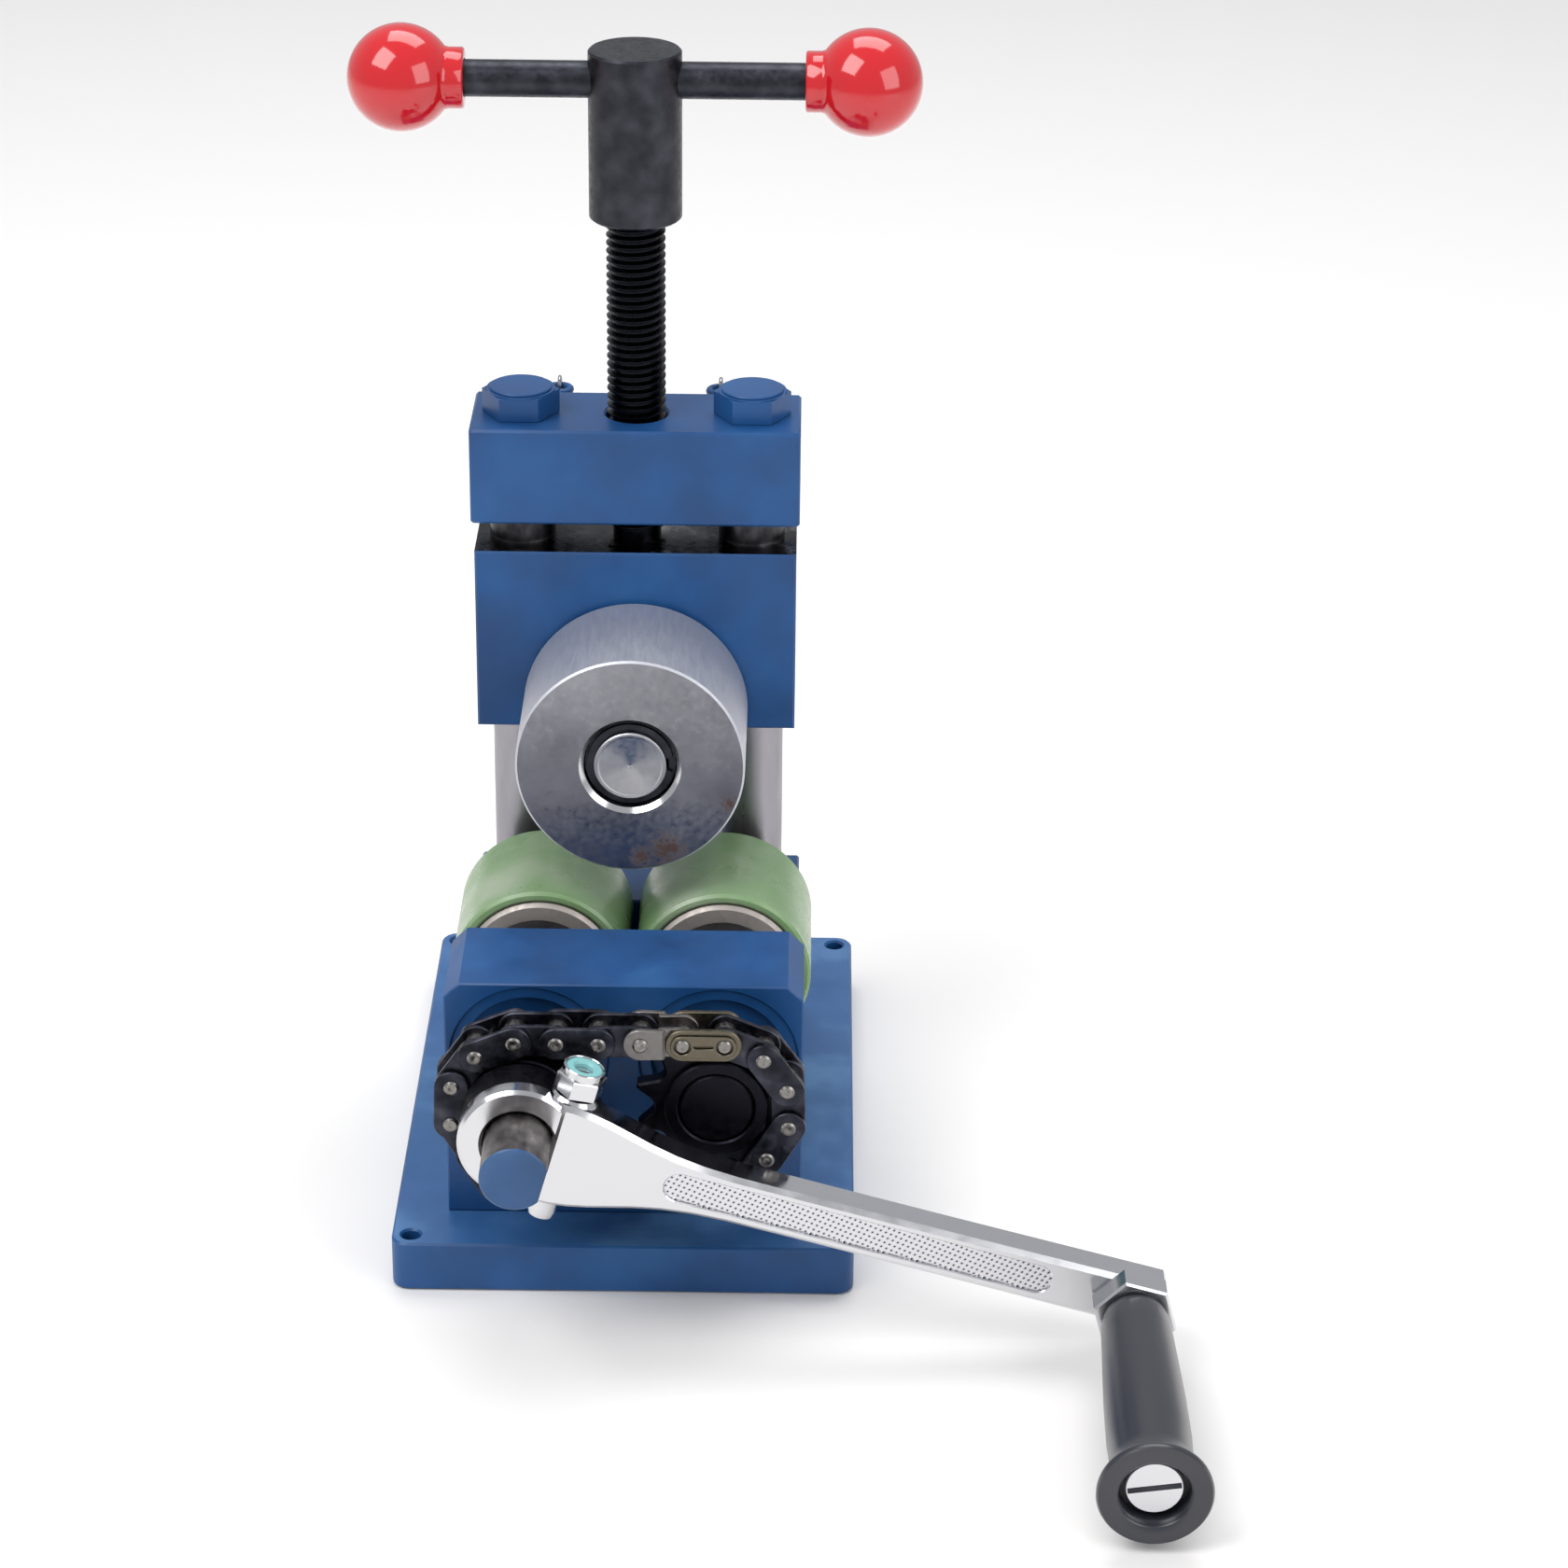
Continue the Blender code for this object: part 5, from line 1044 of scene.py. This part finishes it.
# Radius, and height over the pin's reach
PIN_PROFILE = ((0.0, -0.25), (0.45, -0.1), (0.8, 0.0), (1.3, 0.0), (1.75, -0.35))
ROLLER_RADIUS = 2.54
ROLLER_HALF = 2.45
OFFSET_WIDE_HALF = 3.9
OFFSET_NARROW_HALF = 3.7
OFFSET_REACH = 5.3
OFFSET_STEPS = 12
OFFSET_STEP_SIZE = (1.6, 6.8)
OFFSET_STEP_X = 4.8
STEP_LOW = 2.7
STEP_HIGH = 4.85
CLIP_HALF = 2.75
CLIP_GAP = 0.05
CLIP_THICK = 0.6
CLIP_BREAK = 0.12
CLIP_HOLE = 1.95
CLIP_SLOT_INSET = 2.9
CLIP_SLOT_HALF = 0.4
CLIP_SLOT_STEPS = 4


def chain_pins():
    """Pin places, clockwise from the front: straight top run, wraps and nearly straight lower run."""
    lead = chain_lead()
    top = [(LEFT - TOP_RUN_SPARE + i * PITCH, PIN_CIRCLE * math.cos(lead)) for i in range(TOP_PINS)]
    turns = [lead + i * STEP_ANGLE for i in range(1, WRAP_PINS + 1)]
    right = [polar(PIN_CIRCLE, QUARTER_TURN - turn, (RIGHT, 0.0)) for turn in turns]
    left = [polar(PIN_CIRCLE, QUARTER_TURN + turn, (LEFT, 0.0)) for turn in turns]
    links = LINKS - TOP_PINS - 2 * WRAP_PINS - 1
    leans = [RUN_LEAN * (links - 1 - 2 * i) / links for i in range(links)]
    half_span = PITCH * sum(math.cos(lean) for lean in leans) / 2.0
    drop = math.sqrt(PITCH ** 2 - (right[-1][0] - half_span) ** 2)
    run = [(half_span, right[-1][1] - drop)]
    for lean in leans:
        run.append((run[-1][0] - PITCH * math.cos(lean), run[-1][1] - PITCH * math.sin(lean)))
    return top + right + run + left[::-1]


def add_chain_pin(bm, spot):
    """A riveted pin with a dimple in each end."""
    front = [(radius, PIN_REACH + back) for radius, back in PIN_PROFILE]
    rear = [(radius, -height) for radius, height in reversed(front)]
    add_turned(bm, front + rear, PIN_SIDES, Matrix.Translation((*spot, 0.0)), index=1)


def add_offset_plates(bm, first, second):
    """The offset link's plates: each is wide apart at its first pin and close at its second."""
    wide_x, narrow_x = first[0] + OFFSET_REACH, second[0] - OFFSET_REACH
    wide_end, narrow_end = OFFSET_WIDE_HALF - FINE_BREAK, OFFSET_NARROW_HALF - FINE_BREAK
    wide = half_circle(first, OFFSET_WIDE_HALF, QUARTER_TURN, OFFSET_STEPS)
    wide += [(wide_x, first[1] - wide_end), (wide_x, first[1] + wide_end)]
    narrow = half_circle(second, OFFSET_NARROW_HALF, -QUARTER_TURN, OFFSET_STEPS)
    narrow += [(narrow_x, second[1] + narrow_end), (narrow_x, second[1] - narrow_end)]
    step = rectangle(*OFFSET_STEP_SIZE, centre=(first[0] + OFFSET_STEP_X, first[1]))
    for sign in (1.0, -1.0):
        add_prism(bm, wide, *sorted((sign * OUTER_PLATE, sign * (OUTER_PLATE + PLATE))), FINE_BREAK)
        add_prism(bm, narrow, *sorted((sign * INNER_PLATE, sign * (INNER_PLATE + PLATE))), FINE_BREAK)
        add_prism(bm, step, *sorted((sign * STEP_LOW, sign * STEP_HIGH)), SEAM)
    add_chain_pin(bm, first)


def add_straight_link(bm, first, second, is_outer):
    """Two plates, with pins through an outer link and rollers in an inner one."""
    low, half = (OUTER_PLATE, OUTER_HALF) if is_outer else (INNER_PLATE, INNER_HALF)
    for bottom, top in ((low, low + PLATE), (-low - PLATE, -low)):
        add_prism(bm, obround(first, second, half), bottom, top, PLATE_BREAK)
    for pin in (first, second):
        if is_outer:
            add_chain_pin(bm, pin)
        else:
            add_turned(bm, [(0.0, ROLLER_HALF), (ROLLER_RADIUS, ROLLER_HALF), (ROLLER_RADIUS, -ROLLER_HALF),
                            (0.0, -ROLLER_HALF)], HOLE_SIDES, Matrix.Translation((*pin, 0.0)), index=1)


def build_chain():
    pins = chain_pins()
    spot = place(0.0, CHAIN_Y, AXIS_Z, FACE_FRONT)
    special = {OFFSET_LINK: ("offset_link_piece", "offset", "chain_offset_link"),
               JOINING_LINK: ("joining_link_piece", "joint_link", "chain_connecting_link")}
    for number in range(LINKS):
        first, second = pins[number], pins[(number + 1) % LINKS]
        name, finish, node = special.get(number, (f"chain_link_{number:02d}", "link", "chain_run"))
        bm = bmesh.new()
        if number == OFFSET_LINK:
            add_offset_plates(bm, first, second)
        else:
            add_straight_link(bm, first, second, (number - OFFSET_LINK) % LINKS % 2 == 1)
        finish_piece(bm, name, spot, [finish, "pin"], "frame", [node])
    near, far = pins[JOINING_LINK], pins[JOINING_LINK + 1]
    slot = obround((near[0] + CLIP_SLOT_INSET, near[1]), (far[0] - CLIP_SLOT_INSET, far[1]), CLIP_SLOT_HALF,
                   CLIP_SLOT_STEPS)
    low = OUTER_PLATE + PLATE + CLIP_GAP
    holes = [circle(CLIP_HOLE, PIN_SIDES, near), circle(CLIP_HOLE, PIN_SIDES, far), slot]
    prism("joining_link_clip", obround(near, far, CLIP_HALF), low, low + CLIP_THICK, spot, "joint_link",
          "frame", ["chain_spring_clip"], CLIP_BREAK, holes)


# The crank with its cotter, spindle and grip

# The arm's half width along its length, from the eye to its end
ARM_WIDTHS = ((6.9, 12.9), (10.0, 12.9), (14.5, 12.3), (19.0, 11.3), (24.0, 9.9), (29.0, 8.5), (35.0, 7.2),
              (42.0, 6.3), (50.0, 5.9), (70.0, 5.8), (100.0, 5.8), (146.0, 6.0), (150.3, 6.0), (151.3, 5.0))
ARM_BACK = 16.6
ARM_FRONT = 25.6
ARM_BREAK = 1.1
PANEL_START = 37.5
PANEL_END = 121.5
PANEL_HALF = 3.5
PANEL_STEPS = 10
PANEL_DEPTH = 0.7
PANEL_LIP = 0.25
EYE_BORE = 8.1
EYE_RADIUS = 13.8
EYE_FRONT = 24.9
EYE_BACK = 11.2
EYE_SPLIT = 20.5
EYE_BREAK = 0.8
EYE_REAR_INSET = 0.15
COTTER_X = 9.8
COTTER_Y = 18.4
COTTER_BOSS = 5.9
COTTER_BOSS_SPAN = (8.0, 13.5)
# Radius and height along the pin
COTTER_PROFILE = ((0.0, 18.9), (2.2, 18.9), (2.6, 18.5), (2.6, 13.2), (3.4, 13.2), (3.4, -17.5), (3.0, -19.0),
                  (1.8, -19.8), (0.0, -20.0))
NUT_HALF = 5.0
NUT_TURN = 0.2
NUT_LOW = 13.8
NUT_HIGH = 18.4
NUT_BORE = 2.9
NYLON_LOW = 18.3
# Outer radius, inner radius and top
NYLON_RIM = (4.8, 4.3, 20.3)
NYLON_INSERT = (4.35, 2.2, 20.1)
SPINDLE_RADIUS = 4.0
SPINDLE_SPAN = (-96.0, -14.6)
SPINDLE_HEAD = 6.4
SPINDLE_HEAD_END = -98.8
SPINDLE_SLOT = (11.6, 1.2)
SPINDLE_SLOT_SPAN = (98.75, 98.95)
SPINDLE_SLOT_TURN = math.radians(8.0)
SPINDLE_HEX_HALF = 8.5
SPINDLE_HEX_SPAN = (25.9, 32.4)
GRIP_BACK = -32.7
GRIP_BORE = 4.4
GRIP_MOUTH = 7.9
GRIP_MOUTH_EDGE = 8.4
GRIP_MOUTH_DEPTH = 6.0
# Where along the grip, and how wide
GRIP_SHARES = ((0.0, 6.6), (0.012, 7.4), (0.05, 7.9), (0.12, 8.1), (0.3, 8.6), (0.5, 9.1), (0.7, 9.3),
               (0.84, 9.0), (0.90, 9.2), (0.935, 10.3), (0.955, 11.7), (0.975, 12.5), (0.99, 12.6),
               (1.0, 12.2))


def add_arm(bm):
    """The forged arm: a flared root, a straight bar with broken edges and a sunk panel in its front."""
    path = [(x, -half) for x, half in ARM_WIDTHS] + list(reversed(ARM_WIDTHS))
    inside = shifted(path, ARM_BREAK)
    panel = obround((PANEL_START, 0.0), (PANEL_END, 0.0), PANEL_HALF, PANEL_STEPS)
    rings = [loop_at(bm, inside, ARM_BACK), loop_at(bm, path, ARM_BACK + ARM_BREAK),
             loop_at(bm, path, ARM_FRONT - ARM_BREAK), loop_at(bm, inside, ARM_FRONT)]
    for first, second in zip(rings, rings[1:]):
        bmesh.ops.bridge_loops(bm, edges=first + second)
    fill(bm, rings[0])
    rim = loop_at(bm, shifted(panel, -PANEL_LIP), ARM_FRONT)
    fill(bm, rings[-1] + rim)
    lip = loop_at(bm, panel, ARM_FRONT - PANEL_LIP)
    floor = loop_at(bm, panel, ARM_FRONT - PANEL_DEPTH)
    bmesh.ops.bridge_loops(bm, edges=rim + lip)
    bmesh.ops.bridge_loops(bm, edges=lip + floor)
    before = set(bm.faces)
    fill(bm, floor)
    mark_new(bm, before, 1)


def add_eye(bm):
    """The arm's eye: plated in front of the split, and dark with grease behind it."""
    eye = loop_profile([(EYE_RADIUS, EYE_FRONT), (EYE_RADIUS, EYE_BACK), (EYE_BORE, EYE_BACK),
                        (EYE_BORE, EYE_FRONT)], EYE_BREAK)
    middle = (EYE_BORE + EYE_RADIUS) / 2.0
    front = [(radius, max(height, EYE_SPLIT)) for radius, height in eye]
    rear = [(radius - (EYE_REAR_INSET if radius > middle else 0.0), min(height, EYE_SPLIT))
            for radius, height in eye]
    add_turned(bm, front, SHAFT_SIDES, closed=True)
    add_turned(bm, rear, SHAFT_SIDES, closed=True, index=2)


def build_arm_and_cotter():
    spot = place(LEFT, 0.0, AXIS_Z, CRANK_TURN @ FACE_FRONT)
    cotter = Matrix.Translation((COTTER_X, 0.0, COTTER_Y)) @ ALONG_Y
    low, high = COTTER_BOSS_SPAN
    bm = bmesh.new()
    add_arm(bm)
    add_eye(bm)
    for bottom, top in ((low, high), (-high, -low)):
        add_turned(bm, rod_profile(COTTER_BOSS, bottom, top, EYE_BREAK), ROD_SIDES, cotter)
    finish_piece(bm, "crank_arm_plated", spot, ["chrome", "knurl", "sprocket"], "crank", ["crank_arm"],
                 PLATED_ANGLE)
    bm = bmesh.new()
    add_turned(bm, COTTER_PROFILE, ROD_SIDES, cotter)
    finish_piece(bm, "cotter_pin_plated", spot, ["chrome"], "crank", ["cotter_pin"], PIN_ANGLE)
    bm = bmesh.new()
    add_prism(bm, hexagon(NUT_HALF, NUT_TURN), NUT_LOW, NUT_HIGH, SMALL_BREAK, [circle(NUT_BORE, BOLT_SIDES)],
              cotter)
    for (outer, inner, top), edge, index in ((NYLON_RIM, FINE_BREAK, 0), (NYLON_INSERT, EDGE_BREAK, 1)):
        add_turned(bm, ring_profile(outer, inner, NYLON_LOW, top, edge), ROD_SIDES, cotter, True, index)
    finish_piece(bm, "cotter_nut_nylon", spot, ["chrome", "nylon"], "crank", ["cotter_nut"])


def build_grip():
    grip_x, grip_z = polar(CRANK_LENGTH, CRANK_ANGLE, (LEFT, AXIS_Z))
    axis = place(grip_x, 0.0, grip_z, ALONG_Y)
    face = place(grip_x, 0.0, grip_z, FACE_FRONT)
    low, high = SPINDLE_SPAN
    bm = bmesh.new()
    add_turned(bm, rod_profile(SPINDLE_RADIUS, low, high), ROD_SIDES)
    add_prism(bm, circle(SPINDLE_HEAD, RING_SIDES), SPINDLE_HEAD_END, low, BLOCK_BREAK)
    finish_piece(bm, "grip_spindle_plated", axis, ["chrome"], "crank", ["grip_spindle"])
    bm = bmesh.new()
    add_prism(bm, rectangle(*SPINDLE_SLOT), *SPINDLE_SLOT_SPAN,
              transform=Matrix.Rotation(SPINDLE_SLOT_TURN, 4, "Z"))
    finish_piece(bm, "spindle_slot_shadow", face, ["black"], "crank", [])
    prism("spindle_hex_plated", hexagon(SPINDLE_HEX_HALF, CRANK_ANGLE), *SPINDLE_HEX_SPAN, face, "chrome",
          "crank", ["spindle_hex"], EDGE_BREAK)
    length = size("grip_length")
    end = GRIP_BACK - length
    shape = [(radius, GRIP_BACK - share * length) for share, radius in GRIP_SHARES]
    shape += [(GRIP_MOUTH_EDGE, end), (GRIP_MOUTH, end + EDGE_BREAK), (GRIP_MOUTH, end + GRIP_MOUTH_DEPTH),
              (GRIP_BORE, end + GRIP_MOUTH_DEPTH), (GRIP_BORE, GRIP_BACK)]
    turned("grip_sleeve", shape, SHAFT_SIDES, axis, "grip", "grip", ["grip"], True, MOULDED_ANGLE)


def build_crank():
    build_arm_and_cotter()
    build_grip()


# The return springs and their eye screws

SPRING_X = 19.6
EYE_LOOP = 2.7
EYE_DEGREES = range(0, 360, 30)
HOOK_DEGREES = range(300, 45, -15)
EYE_WIRE = 0.9
EYE_SHANK_END = -14.0
EYE_STAND = 6.5
SPRING_STAND = 9.2
HOOK_RADIUS = 2.0
COIL_GAP = 5.5
COIL_STEPS = 24
WIRE_SIDES = 10


def build_eye_screw(side, level, x, z, body, finish):
    wire = [polar(EYE_WIRE, math.radians(a), (EYE_LOOP, 0.0)) for a in EYE_DEGREES]
    bm = bmesh.new()
    add_turned(bm, wire, ROD_SIDES, closed=True)
    add_turned(bm, rod_profile(EYE_WIRE, EYE_SHANK_END, -EYE_LOOP), PIN_SIDES, ALONG_Y)
    finish_piece(bm, f"{side}_{level}_eye_screw", place(x, REAR_FACE + EYE_STAND, z), [finish], body,
                 [f"{side}_{level}_spring_eye"])


def build_spring(side, x):
    """A coil between two hooks, in one fixed shape; the real spring stretches as the carriage moves."""
    y = REAR_FACE + SPRING_STAND
    radius, coils = size("spring_radius"), bpy.context.scene.ring_bender.sizes.spring_coils
    hook = [math.radians(a) for a in HOOK_DEGREES]
    upper = [(x, y - HOOK_RADIUS * math.sin(a), EYE_UPPER_Z - HOOK_RADIUS * math.cos(a)) for a in hook]
    lower = [(px, py, EYE_UPPER_Z + EYE_LOWER_Z - pz) for px, py, pz in upper]
    high, low = EYE_UPPER_Z - COIL_GAP, EYE_LOWER_Z + COIL_GAP
    count = coils * COIL_STEPS
    coil = []
    for i in range(count + 1):
        turn = FULL_TURN * i / COIL_STEPS
        coil.append((x + radius * math.sin(turn), y + radius * math.cos(turn),
                     high + (low - high) * i / count))
    piece = tube(f"{side}_spring_coil", upper + coil + lower[::-1], size("spring_wire"), WIRE_SIDES, "spring",
                 [f"{side}_return_spring"])
    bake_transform(piece)


def build_springs():
    for side, x in (("left", -SPRING_X), ("right", SPRING_X)):
        build_eye_screw(side, "upper", x, EYE_UPPER_Z, "frame", "blue")
        build_eye_screw(side, "lower", x, EYE_LOWER_Z, "carriage", "turned")
        build_spring(side, x)


# The stage: a pale floor, three soft lamps and the photograph's camera, in metres and pixels

FLOOR_HALF = 3.0
FLOOR_PLACE = (0.0, 1.0, -0.0002)
# Name, place, the point it faces, its width and height, and its power in watts
LAMPS = (("key_light", (-0.75, -0.55, 1.25), (0.0, 0.0, 0.1), (0.9, 0.9), 13.0),
         ("fill_light", (0.95, -0.75, 0.65), (0.0, 0.0, 0.1), (0.8, 0.9), 6.0),
         ("top_light", (0.1, 0.45, 1.35), (0.0, 0.0, 0.12), (1.1, 0.7), 9.0))
SKY_STRENGTH = 0.60
PHOTO_PIXELS = 1680
FOCAL_PIXELS = 4733.0
SENSOR_MM = 36.0
CAMERA_PLACE = (0.0407, -0.961, 0.5505)
CAMERA_PITCH = 0.443
CAMERA_YAW = -0.0047
CAMERA_ROLL = 0.0103


def build_floor():
    bm = bmesh.new()
    bmesh.ops.create_grid(bm, x_segments=1, y_segments=1, size=FLOOR_HALF)
    bmesh.ops.translate(bm, vec=FLOOR_PLACE, verts=bm.verts)
    mesh = bpy.data.meshes.new("stage_floor")
    bm.to_mesh(mesh)
    bm.free()
    mesh.materials.append(new_material("pale_floor", "#f4f2f0", 0.0, 0.65))
    floor = bpy.data.objects.new("stage_floor", mesh)
    bpy.context.scene.collection.objects.link(floor)
    return floor


def add_lamp(name, position, target, spread, power):
    light = bpy.data.lights.new(name, "AREA")
    light.shape = "RECTANGLE"
    light.size, light.size_y = spread
    light.energy = power
    lamp = bpy.data.objects.new(name, light)
    lamp.location = position
    lamp.rotation_euler = (Vector(target) - Vector(position)).to_track_quat("-Z", "Y").to_euler()
    bpy.context.scene.collection.objects.link(lamp)
    return lamp


def add_camera():
    """The camera that the photograph's fitted view gives."""
    level = math.cos(CAMERA_PITCH)
    forward = Vector((math.sin(CAMERA_YAW) * level, math.cos(CAMERA_YAW) * level, -math.sin(CAMERA_PITCH)))
    right = Vector((math.cos(CAMERA_YAW), -math.sin(CAMERA_YAW), 0.0))
    up = right.cross(forward)
    rolled_right = math.cos(CAMERA_ROLL) * right + math.sin(CAMERA_ROLL) * up
    rolled_up = -math.sin(CAMERA_ROLL) * right + math.cos(CAMERA_ROLL) * up
    data = bpy.data.cameras.new("photo_camera")
    data.sensor_width = SENSOR_MM
    data.lens = FOCAL_PIXELS / PHOTO_PIXELS * SENSOR_MM
    camera = bpy.data.objects.new("photo_camera", data)
    basis = Matrix((rolled_right, rolled_up, -forward)).transposed().to_4x4()
    camera.matrix_world = Matrix.Translation(CAMERA_PLACE) @ basis
    bpy.context.scene.collection.objects.link(camera)
    return camera


def build_stage():
    floor = build_floor()
    [add_lamp(*values) for values in LAMPS]
    world = bpy.data.worlds.new("stage_world")
    world.use_nodes = True
    set_values(world.node_tree.nodes["Background"], {"Color": linear("#eef0f4"), "Strength": SKY_STRENGTH})
    scene = bpy.context.scene
    scene.world = world
    scene.camera = add_camera()
    scene.render.resolution_x = PHOTO_PIXELS
    scene.render.resolution_y = PHOTO_PIXELS
    scene.render.film_transparent = False
    scene.view_settings.view_transform = "Standard"
    scene.view_settings.exposure = 0.0


# Operators and the panel

class BuildFrame(bpy.types.Operator):
    """Build the base plate, the blocks, the bearings, the columns and the bolts"""
    bl_idname = "ring_bender.frame"
    bl_label = "Frame"

    def execute(self, context):
        build_frame()
        return {"FINISHED"}


class BuildCarriage(bpy.types.Operator):
    """Build the sliding block with the upper roller, its bush, shaft, circlip and nut"""
    bl_idname = "ring_bender.carriage"
    bl_label = "Carriage and upper roller"

    def execute(self, context):
        build_carriage()
        return {"FINISHED"}


class BuildScrew(bpy.types.Operator):
    """Build the press screw with its hub, tommy bar and ball knobs"""
    bl_idname = "ring_bender.screw"
    bl_label = "Press screw"

    def execute(self, context):
        build_screw()
        return {"FINISHED"}


class BuildRotors(bpy.types.Operator):
    """Build both lower shafts with their rollers, collars, end bolts and sprockets"""
    bl_idname = "ring_bender.rotors"
    bl_label = "Lower rollers and sprockets"

    def execute(self, context):
        build_rotors()
        return {"FINISHED"}


class BuildChain(bpy.types.Operator):
    """Build the roller chain with its offset link, joining link and spring clip"""
    bl_idname = "ring_bender.chain"
    bl_label = "Chain"

    def execute(self, context):
        build_chain()
        return {"FINISHED"}


class BuildCrank(bpy.types.Operator):
    """Build the crank arm with its cotter, spindle and grip"""
    bl_idname = "ring_bender.crank"
    bl_label = "Crank and grip"

    def execute(self, context):
        build_crank()
        return {"FINISHED"}


class BuildSprings(bpy.types.Operator):
    """Build the return springs and the eye screws that hold them"""
    bl_idname = "ring_bender.springs"
    bl_label = "Return springs"

    def execute(self, context):
        build_springs()
        return {"FINISHED"}


class BuildStage(bpy.types.Operator):
    """Build the floor, the lamps and the camera"""
    bl_idname = "ring_bender.stage"
    bl_label = "Stage, lights and camera"

    def execute(self, context):
        if context.scene.ring_bender.show_stage:
            build_stage()
        return {"FINISHED"}


STEPS = (BuildFrame, BuildCarriage, BuildScrew, BuildRotors, BuildChain, BuildCrank, BuildSprings, BuildStage)


class RingBenderPanel(bpy.types.Panel):
    """The sidebar's list of settings and building steps"""
    bl_label = "Ring bender"
    bl_idname = "VIEW3D_PT_ring_bender"
    bl_space_type = "VIEW_3D"
    bl_region_type = "UI"
    bl_category = "Ring bender"

    def draw(self, context):
        settings = context.scene.ring_bender
        for group in (settings.sizes, settings.colours):
            for name in group.bl_rna.properties.keys():
                if name not in ("rna_type", "name"):
                    self.layout.prop(group, name)
        self.layout.prop(settings, "show_stage")
        for step in STEPS:
            self.layout.operator(step.bl_idname)


CLASSES = (RingBenderSizes, RingBenderColours, RingBenderSettings, *STEPS, RingBenderPanel)


def register():
    for item in CLASSES:
        bpy.utils.register_class(item)
    bpy.types.Scene.ring_bender = bpy.props.PointerProperty(type=RingBenderSettings)


def unregister():
    del bpy.types.Scene.ring_bender
    for item in reversed(CLASSES):
        bpy.utils.unregister_class(item)


def main():
    register()
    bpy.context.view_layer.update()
    for step in STEPS:
        group, name = step.bl_idname.split(".")
        getattr(getattr(bpy.ops, group), name)()


if __name__ == "__main__":
    main()
